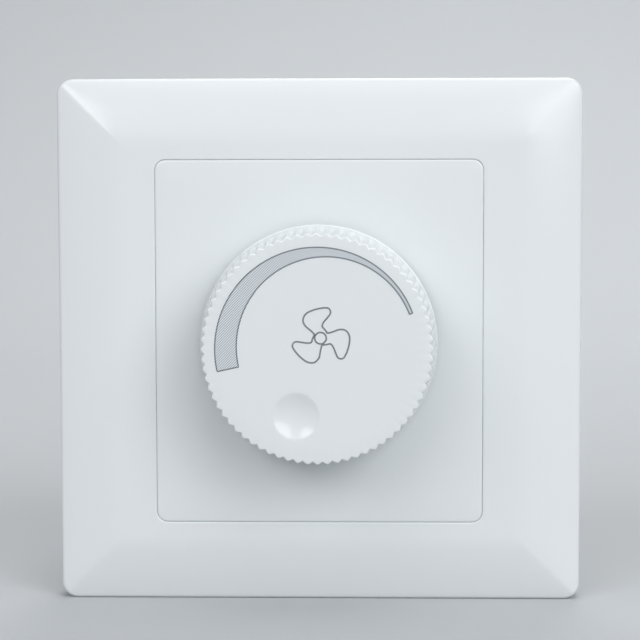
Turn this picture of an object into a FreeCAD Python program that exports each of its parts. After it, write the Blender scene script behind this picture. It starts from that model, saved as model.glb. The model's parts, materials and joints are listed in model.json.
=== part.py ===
import FreeCAD, Part

# Wall-mounted fan speed control: a fluted knob on a square clip-on cover plate, with the
# regulator circuit in a housing behind the wall plane.
# The pieces are modelled lying face up on a bench, with x to the right, y up the face and z out
# towards the user, z = 0 being the wall plane. Each is then stood up, face towards -Y, +Z up.
# The origin is the middle of the two wall screw slots, on the knob's axis, in the wall plane.

import math
import os

from FreeCAD import Vector

# Cover frame, a standard 86 mm plate
plate_width = 86.0
plate_height = 86.0
plate_corner = 2.7
frame_height = 8.2
rim_height = 6.0
rim_rounding = 0.5
ridge_inset = 10.0
ridge_radius = 8.0
slope_radius = 60.0
frame_wall = 2.0
seam = 0.25
pry_notch_width = 8.0
pry_notch_height = 1.2

# Centre panel
panel_width = 53.6
panel_height = 59.6
panel_corner = 1.8
panel_wall = 2.0
panel_skirt = 1.8
panel_rounding = 0.3
screw_relief_width = 10.0
screw_relief_height = 3.2

# Snap hooks of the frame and of the panel
hook_width = 6.0
hook_thick = 1.2
hook_barb = 0.8
hook_reach = 1.8
hook_clearance = 0.2
frame_hook_x = 18.0
frame_hook_inset = 8.0
panel_hook_x = 12.0

# Mounting bracket
bracket_thick = 2.2
bracket_margin = 2.0
bracket_corner = 4.0
wall_screw_spacing = 60.3
wall_slot_width = 4.2
wall_slot_length = 6.6
boss_height = 2.5
boss_radius = 3.0

# Rear housing
housing_width = 50.0
housing_height = 54.0
housing_depth = 27.0
housing_wall = 2.0
housing_corner = 3.0
housing_rounding = 1.5
ear_setout = 5.0
ear_y = 19.0
ear_radius = 3.5
ear_thick = 3.0
post_inset = 3.0
post_radius = 3.2
vent_width = 2.0
vent_pitch = 4.5
vent_length = 16.0
vent_count = 7
side_vent_length = 10.0
side_vent_count = 5
opening_clearance = 0.4

# Knob
knob_gap = 1.0
knob_depth = 12.0
knob_base_radius = 19.3
knob_front_radius = 18.4
tooth_count = 72
tooth_depth = 0.48
tooth_tip_share = 0.24
knob_edge = 0.3
knob_ring_height = 1.2
knob_ring_step = 0.15
knob_wall = 1.6
knob_cap = 2.0
dimple_radius = 3.7
dimple_depth = 0.7
dimple_offset = 11.1
dimple_pad_wall = 1.2
rib_count = 6
rib_thick = 1.2
rib_height = 4.0
knob_boss_radius = 5.5
boss_slit_width = 1.0
boss_slit_depth = 2.5
rest_turn = -17.3

# Spring ring on the knob's boss
clip_thick = 0.6
clip_height = 1.0
clip_setback = 0.3
clip_gap_angle = 60.0

# Potentiometer
shaft_radius = 3.0
shaft_flat = 1.5
shaft_end_gap = 0.2
running_clearance = 0.03
press_clearance = 0.02
bushing_radius = 3.5
bushing_length = 7.0
bushing_hole_clearance = 0.1
knob_boss_gap = 0.4
washer_radius = 6.0
washer_thick = 0.5
nut_across_flats = 10.0
nut_thick = 2.0
thread_clearance = 0.05
pot_radius = 8.2
pot_flange = 1.0
case_depth = 7.0
case_wall = 0.4
wafer_thick = 1.2
wafer_hole_radius = 4.4
wafer_clearance = 0.15
wafer_tab_width = 14.0
wafer_tab_reach = 10.9
rotor_radius = 6.2
rotor_thick = 2.2
rotor_gap = 0.8
stop_lug_radius = 7.2
stop_lug_angle = 28.0
stop_clearance_angle = 2.0
turn_range = 300.0
wiper_thick = 0.3
wiper_inner_radius = 4.6
wiper_angle = 70.0
wiper_nub_radius = 0.5
wiper_nub_offset = 5.6
wiper_gap = 0.1
tail_radius = 2.2
tail_length = 3.0
tail_flat = 1.1
tail_clearance = 0.3
switch_depth = 6.2
switch_foot_radius = 0.8
switch_foot_offset = 7.2
switch_foot_height = 1.6
pin_width = 1.2
pin_thick = 0.6
pin_pitch = 5.0
pin_offset = 10.4
pin_tail = 1.2
switch_pin_x = 2.2
switch_pin_y = 4.4

# Circuit board
board_thick = 1.6
board_clearance = 0.5
board_corner = 1.0
lead_radius = 0.35
lead_tail = 1.0
bend_thinning = 0.05
hole_clearance = 0.15

# Heat sink and triac
sink_thick = 1.5
sink_inset = 1.0
sink_foot = 13.0
sink_wall_height = 11.5
sink_length = 24.0
sink_post_gap = 0.3
sink_bend = 2.5
triac_width = 10.0
triac_length = 15.2
triac_body_length = 9.2
triac_thick = 4.5
tab_thick = 1.3
tab_hole_setback = 2.8
triac_setback = 0.5
triac_edge = 0.3
triac_lead_pitch = 2.54
triac_lead_width = 0.8
triac_lead_thick = 0.5
triac_lead_reach = 4.0
triac_lead_height = 2.5

# Other components on the board's rear face
film_width = 6.0
film_length = 18.0
film_height = 11.5
film_inset = 3.0
film_y = 3.0
film_lead_pitch = 15.0
film_rounding = 0.6
timing_width = 7.5
timing_thick = 3.2
timing_height = 7.0
timing_gap = 1.25
timing_y = 1.0
timing_lead_pitch = 5.0
core_radius = 7.5
core_hole_radius = 4.6
core_height = 7.0
choke_y = 14.2
choke_wire = 0.9
choke_turns = 22
choke_span = 320.0
wire_clearance = 0.1
resistor_radius = 1.25
resistor_length = 6.5
resistor_pitch = 10.0
resistor_x = 2.5
resistor_rows = (-4.0, -8.0)
diac_radius = 1.0
diac_length = 4.0
diac_pitch = 6.0
diac_gap = 2.5
diac_y = 0.0

# Terminal block
block_ways = 2
block_pitch = 10.0
block_depth = 12.0
block_height = 14.4
block_face = 2.6
block_end_wall = 2.8
block_setback = 0.4
entry_radius = 2.2
entry_height = 5.0
cage_width = 6.6
cage_depth = 7.0
cage_wall = 0.9
cage_top = 2.0
cage_window = 4.8
cage_clearance = 0.15
screw_lift = 0.6
well_clearance = 0.2

# Screws
housing_screw_radius = 1.3
housing_screw_head = 2.8
housing_screw_head_height = 2.0
housing_screw_length = 7.0
board_screw_radius = 1.1
board_screw_head = 2.4
board_screw_head_height = 1.6
board_screw_length = 8.0
triac_screw_radius = 1.5
triac_screw_head = 2.75
triac_screw_head_height = 2.0
triac_nut_across_flats = 5.5
triac_nut_thick = 2.4
terminal_screw_radius = 1.5
terminal_screw_head = 2.3
terminal_screw_head_height = 1.8
screw_hole_clearance = 0.3
slot_width = 0.7
slot_depth = 0.8

# Planes from the user towards the wall box
bracket_front = bracket_thick
panel_rear = frame_height - panel_wall
knob_base = frame_height + knob_gap
knob_front = knob_base + knob_depth
knob_ceiling = knob_front - knob_cap
bushing_end = panel_rear + bushing_length
knob_boss_end = bushing_end + knob_boss_gap
shaft_end = knob_ceiling - shaft_end_gap
nut_seat = frame_height + washer_thick
flange_rear = panel_rear - pot_flange
wafer_rear = flange_rear - wafer_thick
rotor_front = wafer_rear - rotor_gap
rotor_rear = rotor_front - rotor_thick
case_rear = flange_rear - case_depth
switch_rear = case_rear - switch_depth
board_front = switch_rear - switch_foot_height
board_rear = board_front - board_thick
housing_floor = -housing_depth + housing_wall

# Sizes across that follow from the values above
frame_hook_y = plate_height / 2 - frame_hook_inset
bracket_width = plate_width - 2 * (frame_wall + bracket_margin)
bracket_height = plate_height - 2 * (frame_wall + bracket_margin)
panel_hook_y = panel_height / 2 - panel_skirt / 2 - hook_thick / 2
cavity_width = housing_width - 2 * housing_wall
cavity_height = housing_height - 2 * housing_wall
board_width = cavity_width - 2 * board_clearance
board_height = cavity_height - 2 * board_clearance
post_x = cavity_width / 2 - post_inset
post_y = cavity_height / 2 - post_inset
ear_x = housing_width / 2 + ear_setout
sink_x = -board_width / 2 + sink_inset
sink_foot_end = sink_x + sink_foot
sink_y = post_y - post_radius - sink_post_gap - sink_length
triac_x = sink_foot_end - triac_edge - triac_width / 2
triac_y = sink_y + triac_setback
tab_hole_y = triac_y + triac_length - tab_hole_setback
sink_top = board_rear - sink_thick
film_x = board_width / 2 - film_inset - film_width / 2
film_left = film_x - film_width / 2
timing_x = film_left - timing_gap - timing_width / 2
choke_x = (sink_foot_end + film_left) / 2
diac_x = sink_foot_end + diac_gap + diac_radius
block_end = cage_width / 2 + cage_clearance + block_end_wall
block_width = (block_ways - 1) * block_pitch + 2 * block_end
block_y = -cavity_height / 2 + block_setback
entry_z = board_rear - entry_height
cage_y = block_y + block_face + cage_clearance
cage_window_top = entry_z - cage_window / 2
cage_rear = cage_window_top - cage_top
cage_front = entry_z + cage_window / 2 + cage_wall
clamp_y = cage_y + cage_depth / 2
way_places = [(way - (block_ways - 1) / 2) * block_pitch for way in range(block_ways)]
post_places = [(sx * post_x, sy * post_y) for sx in (-1, 1) for sy in (-1, 1)]
ear_places = [(sx * ear_x, sy * ear_y) for sx in (-1, 1) for sy in (-1, 1)]
board_screw_places = [(-post_x, post_y), (post_x, -post_y)]
pot_pin_places = [(step * pin_pitch, -pin_offset) for step in (-1, 0, 1)]
switch_pin_places = [(side * switch_pin_x, switch_pin_y) for side in (-1, 1)]
triac_lead_places = [triac_x + step * triac_lead_pitch for step in (-1, 0, 1)]
triac_lead_end = triac_y - triac_lead_reach
film_leads = [(film_x, film_y + side * film_lead_pitch / 2) for side in (-1, 1)]
timing_leads = [(timing_x + side * timing_lead_pitch / 2, timing_y) for side in (-1, 1)]
resistor_ends = [resistor_x + side * resistor_pitch / 2 for side in (-1, 1)]
resistor_leads = [(x, row) for row in resistor_rows for x in resistor_ends]
diac_leads = [(diac_x, diac_y + side * diac_pitch / 2) for side in (-1, 1)]
choke_lead_radius = core_radius + wire_clearance + choke_wire / 2
choke_lead_angles = [90 + side * choke_span / 2 for side in (-1, 1)]
choke_leads = [
    (
        choke_x + choke_lead_radius * math.cos(math.radians(angle)),
        choke_y + choke_lead_radius * math.sin(math.radians(angle)),
    )
    for angle in choke_lead_angles
]

OUT = Vector(0, 0, 1)
UP = Vector(0, 1, 0)
RIGHT = Vector(1, 0, 0)


# Plain solids

def block(x0, x1, y0, y1, z0, z1):
    """A box between two opposite corners."""
    return Part.makeBox(x1 - x0, y1 - y0, z1 - z0, Vector(x0, y0, z0))


def bar(x, y, width, thick, z0, z1):
    """A straight bar along z, centred on (x, y)."""
    return block(x - width / 2, x + width / 2, y - thick / 2, y + thick / 2, z0, z1)


def rod(radius, z0, z1, x=0.0, y=0.0):
    """A round bar along z."""
    return Part.makeCylinder(radius, z1 - z0, Vector(x, y, z0), OUT)


def ring(outer, inner, z0, z1):
    """A round tube along z, on the knob's axis."""
    return rod(outer, z0, z1).cut(rod(inner, z0, z1))


def rounded_rectangle(width, height, corner, z):
    """A closed wire: a rectangle with round corners, at height z."""
    x = width / 2 - corner
    y = height / 2 - corner
    edges = []
    last = None
    first = None
    for cx, cy, turn in ((x, y, 0), (-x, y, 90), (-x, -y, 180), (x, -y, 270)):
        circle = Part.Circle(Vector(cx, cy, z), OUT, corner)
        arc = Part.Arc(circle, math.radians(turn), math.radians(turn + 90)).toShape()
        start = arc.Vertexes[0].Point
        if last is None:
            first = start
        else:
            edges.append(Part.makeLine(last, start))
        edges.append(arc)
        last = arc.Vertexes[-1].Point
    edges.append(Part.makeLine(last, first))
    return Part.Wire(edges)


def slab(width, height, corner, z0, z1):
    """A plate with round corners between two heights."""
    return Part.Face(rounded_rectangle(width, height, corner, z0)).extrude(OUT * (z1 - z0))


def slot_hole(x, y, length, width, z0, z1):
    """A round-ended slot along x, to be cut out."""
    radius = width / 2
    reach = length / 2 - radius
    middle = bar(x, y, 2 * reach, width, z0, z1)
    return middle.fuse([rod(radius, z0, z1, x - reach, y), rod(radius, z0, z1, x + reach, y)])


def hexagon(across_flats, z0, z1, x=0.0, y=0.0):
    """A hexagonal prism along z."""
    radius = across_flats / 2 / math.cos(math.radians(30))
    angles = [math.radians(60 * k) for k in range(7)]
    points = [Vector(x + radius * math.cos(angle), y + radius * math.sin(angle), z0) for angle in angles]
    return Part.Face(Part.makePolygon(points)).extrude(OUT * (z1 - z0))


def sector(outer, inner, middle_angle, spread, z0, z1):
    """A piece of a round tube, centred on an angle in degrees, counter-clockwise from x."""
    piece = Part.makeCylinder(outer, z1 - z0, Vector(0, 0, z0), OUT, spread)
    piece = piece.cut(rod(inner, z0, z1))
    piece.rotate(Vector(0, 0, 0), OUT, middle_angle - spread / 2)
    return piece


def screw(x, y, seat, facing, length, size):
    """A slotted screw on a seat, facing out (+1) or back (-1); size is its radii and head height."""
    radius, head, head_height = size
    top = seat + facing * head_height
    tip = seat - facing * length
    body = rod(head, min(seat, top), max(seat, top), x, y)
    body = body.fuse(rod(radius, min(seat, tip), max(seat, tip), x, y)).removeSplitter()
    bottom = top - facing * slot_depth
    return body.cut(bar(x, y, 2 * head, slot_width, min(top, bottom), max(top, bottom)))


def turned(shape):
    """A piece that turns with the knob, brought to its rest angle."""
    shape.rotate(Vector(0, 0, 0), OUT, rest_turn)
    return shape


# Cover frame

def arc_about(centre, start, end):
    """The shorter arc between two points about a centre."""
    middle = (start - centre) + (end - centre)
    middle.normalize()
    return Part.Arc(start, centre + middle * (start - centre).Length, end).toShape()


def slope_section(half, inset):
    """Cross-section of the plate in the xz plane: a flat, a soft ridge and a slightly domed slope."""
    ridge = Vector(half - ridge_inset, 0, frame_height - ridge_radius)
    rim = Vector(half, 0, rim_height)
    span = (ridge - rim).Length
    towards = (ridge - rim) * (1 / span)
    inner_reach = slope_radius - ridge_radius
    along = (slope_radius ** 2 - inner_reach ** 2 + span ** 2) / (2 * span)
    aside = math.sqrt(slope_radius ** 2 - along ** 2)
    dome = rim + towards * along + Vector(-towards.z, 0, towards.x) * aside
    outward = (ridge - dome) * (1 / inner_reach)
    flat_end = ridge + OUT * (ridge_radius - inset)
    meet = dome + outward * (slope_radius - inset)
    wall_x = half - inset
    wall_top = dome.z + math.sqrt((slope_radius - inset) ** 2 - (wall_x - dome.x) ** 2)
    edge = Vector(wall_x, 0, wall_top)
    foot = Vector(wall_x, 0, 0)
    right = [arc_about(ridge, flat_end, meet), arc_about(dome, meet, edge), Part.makeLine(edge, foot)]
    left = [side.mirror(Vector(0, 0, 0), RIGHT) for side in right]
    across_flat = Part.makeLine(Vector(-flat_end.x, 0, flat_end.z), flat_end)
    across_foot = Part.makeLine(Vector(-foot.x, 0, 0), foot)
    edges = Part.sortEdges([across_flat] + right + left + [across_foot])[0]
    return Part.Face(Part.Wire(edges))


def sloped_block(inset):
    """The plate's body, or its hollow at an inset: two sloped bars crossed, so the corners mitre."""
    across = slope_section(plate_width / 2, inset).extrude(UP * plate_height)
    across.translate(UP * (-plate_height / 2))
    upright = slope_section(plate_height / 2, inset).extrude(UP * plate_width)
    upright.translate(UP * (-plate_width / 2))
    upright.rotate(Vector(0, 0, 0), OUT, 90)
    width = plate_width - 2 * inset
    height = plate_height - 2 * inset
    outline = slab(width, height, max(plate_corner - inset, rim_rounding), 0, frame_height)
    return across.common(upright).common(outline)


def snap_hook(x, y, side, root):
    """A cantilever hook through the bracket, its barb behind it and facing away from the middle."""
    outer = y + side * hook_thick
    tip = outer + side * hook_barb
    outline = [(y, root), (outer, root), (outer, 0), (tip, 0), (outer, -hook_reach), (y, -hook_reach)]
    points = [Vector(x - hook_width / 2, py, pz) for py, pz in outline + outline[:1]]
    return Part.Face(Part.makePolygon(points)).extrude(RIGHT * hook_width)


def hook_slot(x, y, side):
    """The hole in the bracket for one hook, with room on the inner side for the hook to bend."""
    inner = y - side * (hook_barb + hook_clearance)
    outer = y + side * (hook_thick + hook_clearance)
    half = hook_width / 2 + hook_clearance
    return block(x - half, x + half, min(inner, outer), max(inner, outer), 0, bracket_front)


def make_cover_frame():
    body = sloped_block(0)
    outline = slab(plate_width, plate_height, plate_corner, -frame_height, 2 * frame_height)
    sides = Part.Shell([face for face in outline.Faces if abs(face.normalAt(0, 0).z) < 0.5])
    rim_edges = []
    for edge in body.Edges:
        middle = Part.Vertex(edge.valueAt((edge.FirstParameter + edge.LastParameter) / 2))
        upright = edge.BoundBox.ZLength > 0.8 * rim_height
        if not upright and middle.Z > rim_height / 2 and middle.distToShape(sides)[0] < 1e-4:
            rim_edges.append(edge)
    body = body.makeFillet(rim_rounding, rim_edges)
    body = body.cut(sloped_block(frame_wall))
    aperture = slab(panel_width + 2 * seam, panel_height + 2 * seam, panel_corner + seam, 0, frame_height)
    body = body.cut(aperture)
    notch_y = -plate_height / 2 + frame_wall / 2
    body = body.cut(bar(0, notch_y, pry_notch_width, frame_wall, 0, pry_notch_height))
    hooks = []
    for sx in (-1, 1):
        for sy in (-1, 1):
            hooks.append(snap_hook(sx * frame_hook_x, sy * frame_hook_y, sy, frame_height - frame_wall))
    return body.fuse(hooks).removeSplitter()


# Centre panel

def make_centre_panel():
    body = slab(panel_width, panel_height, panel_corner, bracket_front, frame_height)
    front_edges = [edge for edge in body.Edges if edge.BoundBox.ZMin > frame_height - panel_rounding]
    body = body.makeFillet(panel_rounding, front_edges)
    inner_corner = max(panel_corner - panel_skirt, panel_rounding)
    hollow_width = panel_width - 2 * panel_skirt
    hollow_height = panel_height - 2 * panel_skirt
    body = body.cut(slab(hollow_width, hollow_height, inner_corner, bracket_front, panel_rear))
    relief_top = bracket_front + screw_relief_height
    body = body.cut(bar(0, 0, panel_width, screw_relief_width, bracket_front, relief_top))
    body = body.cut(rod(bushing_radius + bushing_hole_clearance, panel_rear, frame_height))
    hooks = []
    for sx in (-1, 1):
        for sy in (-1, 1):
            hooks.append(snap_hook(sx * panel_hook_x, sy * panel_hook_y, sy, panel_rear))
    return body.fuse(hooks).removeSplitter()


# Mounting bracket

def make_mounting_bracket():
    body = slab(bracket_width, bracket_height, bracket_corner, 0, bracket_front)
    boss_top = bracket_front + boss_height
    body = body.fuse([rod(boss_radius, 0, boss_top, x, y) for x, y in ear_places]).removeSplitter()
    cuts = [slab(cavity_width, cavity_height, housing_corner, 0, bracket_front)]
    for side in (-1, 1):
        x = side * wall_screw_spacing / 2
        cuts.append(slot_hole(x, 0, wall_slot_length, wall_slot_width, 0, bracket_front))
    for x, y in ear_places:
        cuts.append(rod(housing_screw_radius + thread_clearance, 0, boss_top, x, y))
    for sx in (-1, 1):
        for sy in (-1, 1):
            cuts.append(hook_slot(sx * frame_hook_x, sy * frame_hook_y, sy))
            cuts.append(hook_slot(sx * panel_hook_x, sy * panel_hook_y, sy))
    return body.cut(cuts)


# Rear housing

def make_rear_housing():
    body = slab(housing_width, housing_height, housing_corner, -housing_depth, 0)
    rear_edges = [edge for edge in body.Edges if edge.BoundBox.ZMax < -housing_depth + housing_rounding]
    body = body.makeFillet(housing_rounding, rear_edges)
    inner_corner = housing_corner - housing_wall
    body = body.cut(slab(cavity_width, cavity_height, inner_corner, housing_floor, 0))
    posts = [rod(post_radius, housing_floor, board_rear, x, y) for x, y in post_places]
    ears = []
    for x, y in ear_places:
        arm_root = math.copysign(housing_width / 2 - housing_wall / 2, x)
        arm = block(min(arm_root, x), max(arm_root, x), y - ear_radius, y + ear_radius, -ear_thick, 0)
        ears.append(arm.fuse(rod(ear_radius, -ear_thick, 0, x, y)))
    body = body.fuse(posts + ears).removeSplitter()
    cuts = []
    for x, y in ear_places:
        cuts.append(rod(housing_screw_radius + screw_hole_clearance, -ear_thick, 0, x, y))
    for x, y in post_places:
        cuts.append(rod(board_screw_radius + thread_clearance, housing_floor, board_rear, x, y))
    vent_middle = cavity_height / 4
    for k in range(vent_count):
        x = (k - (vent_count - 1) / 2) * vent_pitch
        cuts.append(bar(x, vent_middle, vent_width, vent_length, -housing_depth, housing_floor))
    side_vent_top = (board_rear + housing_floor) / 2 + side_vent_length / 2
    for k in range(side_vent_count):
        x = (k - (side_vent_count - 1) / 2) * vent_pitch
        wall = (cavity_height + housing_wall) / 2
        cuts.append(bar(x, wall, vent_width, housing_wall, side_vent_top - side_vent_length, side_vent_top))
    opening = block_width / 2 + opening_clearance
    opening_top = block_y + block_depth + opening_clearance
    wall_bottom = -housing_height / 2
    cuts.append(block(-opening, opening, wall_bottom, opening_top, -housing_depth, housing_floor))
    cuts.append(block(-opening, opening, wall_bottom, -cavity_height / 2, -housing_depth, board_rear))
    return body.cut(cuts)


def make_housing_screws():
    size = (housing_screw_radius, housing_screw_head, housing_screw_head_height)
    return [screw(x, y, -ear_thick, -1, housing_screw_length, size) for x, y in ear_places]


# Knob

def toothed_wire(tip_radius, z):
    """Outline of the fluted rim: straight flanks between a sharp valley and a blunt tip."""
    pitch = 2 * math.pi / tooth_count
    points = []
    for k in range(tooth_count):
        for share, radius in (
            (0.0, tip_radius - tooth_depth),
            (0.5 - tooth_tip_share / 2, tip_radius),
            (0.5 + tooth_tip_share / 2, tip_radius),
        ):
            angle = (k + share) * pitch
            points.append(Vector(radius * math.cos(angle), radius * math.sin(angle), z))
    return Part.makePolygon(points + points[:1])


def d_bar(radius, flat, z0, z1):
    """A round bar with one flat facing the dimple."""
    flat_y = -radius + flat
    return rod(radius, z0, z1).cut(block(-radius, radius, -radius, flat_y, z0, z1))


def make_knob():
    sections = [
        toothed_wire(knob_base_radius - knob_ring_step, knob_base),
        toothed_wire(knob_front_radius, knob_front - knob_edge),
        toothed_wire(knob_front_radius - knob_edge, knob_front),
    ]
    ring = rod(knob_base_radius, knob_base, knob_base + knob_ring_height)
    body = Part.makeLoft(sections, True, True).fuse(ring)
    hollow_base = knob_base_radius - tooth_depth - knob_wall
    hollow_front = knob_front_radius - tooth_depth - knob_wall
    hollow_depth = knob_ceiling - knob_base
    body = body.cut(Part.makeCone(hollow_base, hollow_front, hollow_depth, Vector(0, 0, knob_base), OUT))
    pad = rod(dimple_radius + dimple_pad_wall, knob_ceiling - dimple_depth, knob_ceiling, 0, -dimple_offset)
    boss = rod(knob_boss_radius, knob_boss_end, knob_ceiling)
    ribs = []
    for k in range(rib_count):
        rib = block(0, hollow_front, -rib_thick / 2, rib_thick / 2, knob_ceiling - rib_height, knob_ceiling)
        rib.rotate(Vector(0, 0, 0), OUT, 360 * (k + 0.5) / rib_count)
        ribs.append(rib)
    body = body.fuse([pad, boss] + ribs).removeSplitter()
    ball_radius = (dimple_radius ** 2 + dimple_depth ** 2) / (2 * dimple_depth)
    ball_height = knob_front - dimple_depth + ball_radius
    bore = d_bar(shaft_radius + press_clearance, shaft_flat, knob_boss_end, knob_ceiling)
    slit = bar(0, 0, 2 * knob_boss_radius, boss_slit_width, knob_boss_end, knob_boss_end + boss_slit_depth)
    ball = Part.makeSphere(ball_radius, Vector(0, -dimple_offset, ball_height))
    return turned(body.cut([ball, bore, slit]))


def make_knob_clip():
    inner = knob_boss_radius + press_clearance
    start = knob_boss_end + clip_setback
    return turned(sector(inner + clip_thick, inner, 90, 360 - clip_gap_angle, start, start + clip_height))


# Potentiometer and its switch

def make_pot_shaft():
    lower = rod(shaft_radius, rotor_rear, knob_boss_end)
    upper = d_bar(shaft_radius, shaft_flat, knob_boss_end, shaft_end)
    tail = d_bar(tail_radius, tail_flat, case_rear - tail_length, rotor_rear)
    return turned(lower.fuse([upper, tail]).removeSplitter())


def make_pot_bushing():
    flange = rod(pot_radius, flange_rear, panel_rear)
    thread = rod(bushing_radius, panel_rear, bushing_end)
    hole = rod(shaft_radius + running_clearance, flange_rear, bushing_end)
    return flange.fuse(thread).removeSplitter().cut(hole)


def make_pot_washer():
    return ring(washer_radius, bushing_radius + bushing_hole_clearance, frame_height, nut_seat)


def make_pot_nut():
    hole = rod(bushing_radius + thread_clearance, nut_seat, nut_seat + nut_thick)
    return hexagon(nut_across_flats, nut_seat, nut_seat + nut_thick).cut(hole)


def make_pot_case():
    """A drawn can, open in front, notched for the wafer's tab, with the stop tab bent inwards."""
    body = ring(pot_radius, pot_radius - case_wall, case_rear, flange_rear)
    floor = ring(pot_radius, tail_radius + tail_clearance, case_rear, case_rear + case_wall)
    free_angle = 360 - turn_range
    tab_angle = free_angle - stop_lug_angle - 2 * stop_clearance_angle
    tab_middle = 90 + rest_turn + free_angle / 2
    tab_inner = rotor_radius + tail_clearance
    tab = sector(pot_radius - case_wall / 2, tab_inner, tab_middle, tab_angle, rotor_rear, rotor_front)
    body = body.fuse([floor, tab]).removeSplitter()
    half = wafer_tab_width / 2 + wafer_clearance
    return body.cut(block(-half, half, -pot_radius, 0, wafer_rear - wafer_clearance, flange_rear))


def make_pot_wafer():
    disc = rod(pot_radius - case_wall - wafer_clearance, wafer_rear, flange_rear)
    tab = block(-wafer_tab_width / 2, wafer_tab_width / 2, -wafer_tab_reach, 0, wafer_rear, flange_rear)
    return disc.fuse(tab).removeSplitter().cut(rod(wafer_hole_radius, wafer_rear, flange_rear))


def make_pot_rotor():
    body = ring(rotor_radius, shaft_radius + press_clearance, rotor_rear, rotor_front)
    lug = sector(stop_lug_radius, rotor_radius - case_wall, 90, stop_lug_angle, rotor_rear, rotor_front)
    return turned(body.fuse(lug).removeSplitter())


def make_pot_wiper():
    leaf = sector(rotor_radius, wiper_inner_radius, 90, wiper_angle, rotor_front, rotor_front + wiper_thick)
    nub = rod(wiper_nub_radius, rotor_front, wafer_rear - wiper_gap, 0, wiper_nub_offset)
    return turned(leaf.fuse(nub).removeSplitter())


def make_pot_terminals():
    tip = board_rear - pin_tail
    return [bar(x, y, pin_width, pin_thick, tip, wafer_rear) for x, y in pot_pin_places]


def make_switch_case():
    body = rod(pot_radius, switch_rear, case_rear)
    feet = []
    for k in range(4):
        angle = math.radians(45 + 90 * k)
        foot_x = switch_foot_offset * math.cos(angle)
        foot_y = switch_foot_offset * math.sin(angle)
        feet.append(rod(switch_foot_radius, board_front, switch_rear, foot_x, foot_y))
    well_floor = case_rear - tail_length - tail_clearance
    return body.fuse(feet).cut(rod(tail_radius + tail_clearance, well_floor, case_rear))


def make_switch_terminals():
    tip = board_rear - pin_tail
    return [bar(x, y, pin_width, pin_thick, tip, switch_rear) for x, y in switch_pin_places]


# Circuit board

def make_circuit_board():
    body = slab(board_width, board_height, board_corner, board_rear, board_front)
    pin_hole = math.hypot(pin_width, pin_thick) / 2 + hole_clearance
    triac_hole = math.hypot(triac_lead_width, triac_lead_thick) / 2 + hole_clearance
    lead_hole = lead_radius + hole_clearance
    holes = [(x, y, board_screw_radius + screw_hole_clearance) for x, y in post_places]
    holes.append((triac_x, tab_hole_y, triac_screw_radius + screw_hole_clearance))
    holes += [(x, y, pin_hole) for x, y in pot_pin_places + switch_pin_places]
    holes += [(x, clamp_y, pin_hole) for x in way_places]
    holes += [(x, triac_lead_end, triac_hole) for x in triac_lead_places]
    holes += [(x, y, lead_hole) for x, y in film_leads + timing_leads + resistor_leads + diac_leads]
    holes += [(x, y, choke_wire / 2 + hole_clearance) for x, y in choke_leads]
    return body.cut([rod(radius, board_rear, board_front, x, y) for x, y, radius in holes])


def make_board_screws():
    size = (board_screw_radius, board_screw_head, board_screw_head_height)
    return [screw(x, y, board_front, 1, board_screw_length, size) for x, y in board_screw_places]


# Heat sink and triac

def make_heat_sink():
    """A plate bent to an L: the foot lies on the board, the wall stands beside the housing wall."""
    wall_end = board_rear - sink_wall_height
    outline = [
        (sink_x, board_rear), (sink_foot_end, board_rear), (sink_foot_end, sink_top),
        (sink_x + sink_thick, sink_top),
        (sink_x + sink_thick, wall_end), (sink_x, wall_end), (sink_x, board_rear),
    ]
    points = [Vector(px, sink_y, pz) for px, pz in outline]
    body = Part.Face(Part.makePolygon(points)).extrude(UP * sink_length)
    bend = [edge for edge in body.Edges if is_upright_at(edge, sink_x, board_rear)]
    body = body.makeFillet(sink_bend, bend)
    inside = [edge for edge in body.Edges if is_upright_at(edge, sink_x + sink_thick, sink_top)]
    body = body.makeFillet(sink_bend - sink_thick, inside)
    hole = rod(triac_screw_radius + screw_hole_clearance, sink_top, board_rear, triac_x, tab_hole_y)
    return body.cut(hole)


def is_upright_at(edge, x, z):
    """Whether an edge runs up the face at one x and z."""
    middle = edge.CenterOfMass
    return edge.BoundBox.YLength > 1 and math.hypot(middle.x - x, middle.z - z) < 1e-4


def make_triac_tab():
    rear = sink_top - tab_thick
    plate = bar(triac_x, triac_y + triac_length / 2, triac_width, triac_length, rear, sink_top)
    return plate.cut(rod(triac_screw_radius + thread_clearance, rear, sink_top, triac_x, tab_hole_y))


def make_triac_body():
    front = sink_top - tab_thick
    rear = sink_top - triac_thick
    return bar(triac_x, triac_y + triac_body_length / 2, triac_width, triac_body_length, rear, front)


def make_triac_leads():
    """Three leads, straight out of the body and then bent into the board."""
    level = sink_top - triac_lead_height
    leads = []
    for x in triac_lead_places:
        left = x - triac_lead_width / 2
        right = x + triac_lead_width / 2
        end = triac_lead_end - triac_lead_thick / 2
        rear = level - triac_lead_thick
        out = block(left, right, end, triac_y, rear, level)
        down = block(left, right, end, end + triac_lead_thick, rear, board_front + lead_tail)
        leads.append(out.fuse(down).removeSplitter())
    return leads


def make_triac_screw():
    seat = sink_top - tab_thick
    length = board_front + triac_nut_thick - seat
    size = (triac_screw_radius, triac_screw_head, triac_screw_head_height)
    return screw(triac_x, tab_hole_y, seat, -1, length, size)


def make_triac_nut():
    top = board_front + triac_nut_thick
    hole = rod(triac_screw_radius + thread_clearance, board_front, top, triac_x, tab_hole_y)
    return hexagon(triac_nut_across_flats, board_front, top, triac_x, tab_hole_y).cut(hole)


# Other components

def straight_leads(places, root):
    """Wire leads through the board, from a component's underside."""
    return [rod(lead_radius, root, board_front + lead_tail, x, y) for x, y in places]


def make_film_capacitor():
    body = bar(film_x, film_y, film_width, film_length, board_rear - film_height, board_rear)
    body = body.makeFillet(film_rounding, [edge for edge in body.Edges if edge.BoundBox.ZMax < board_rear])
    return body.fuse(straight_leads(film_leads, board_rear)).removeSplitter()


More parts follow.
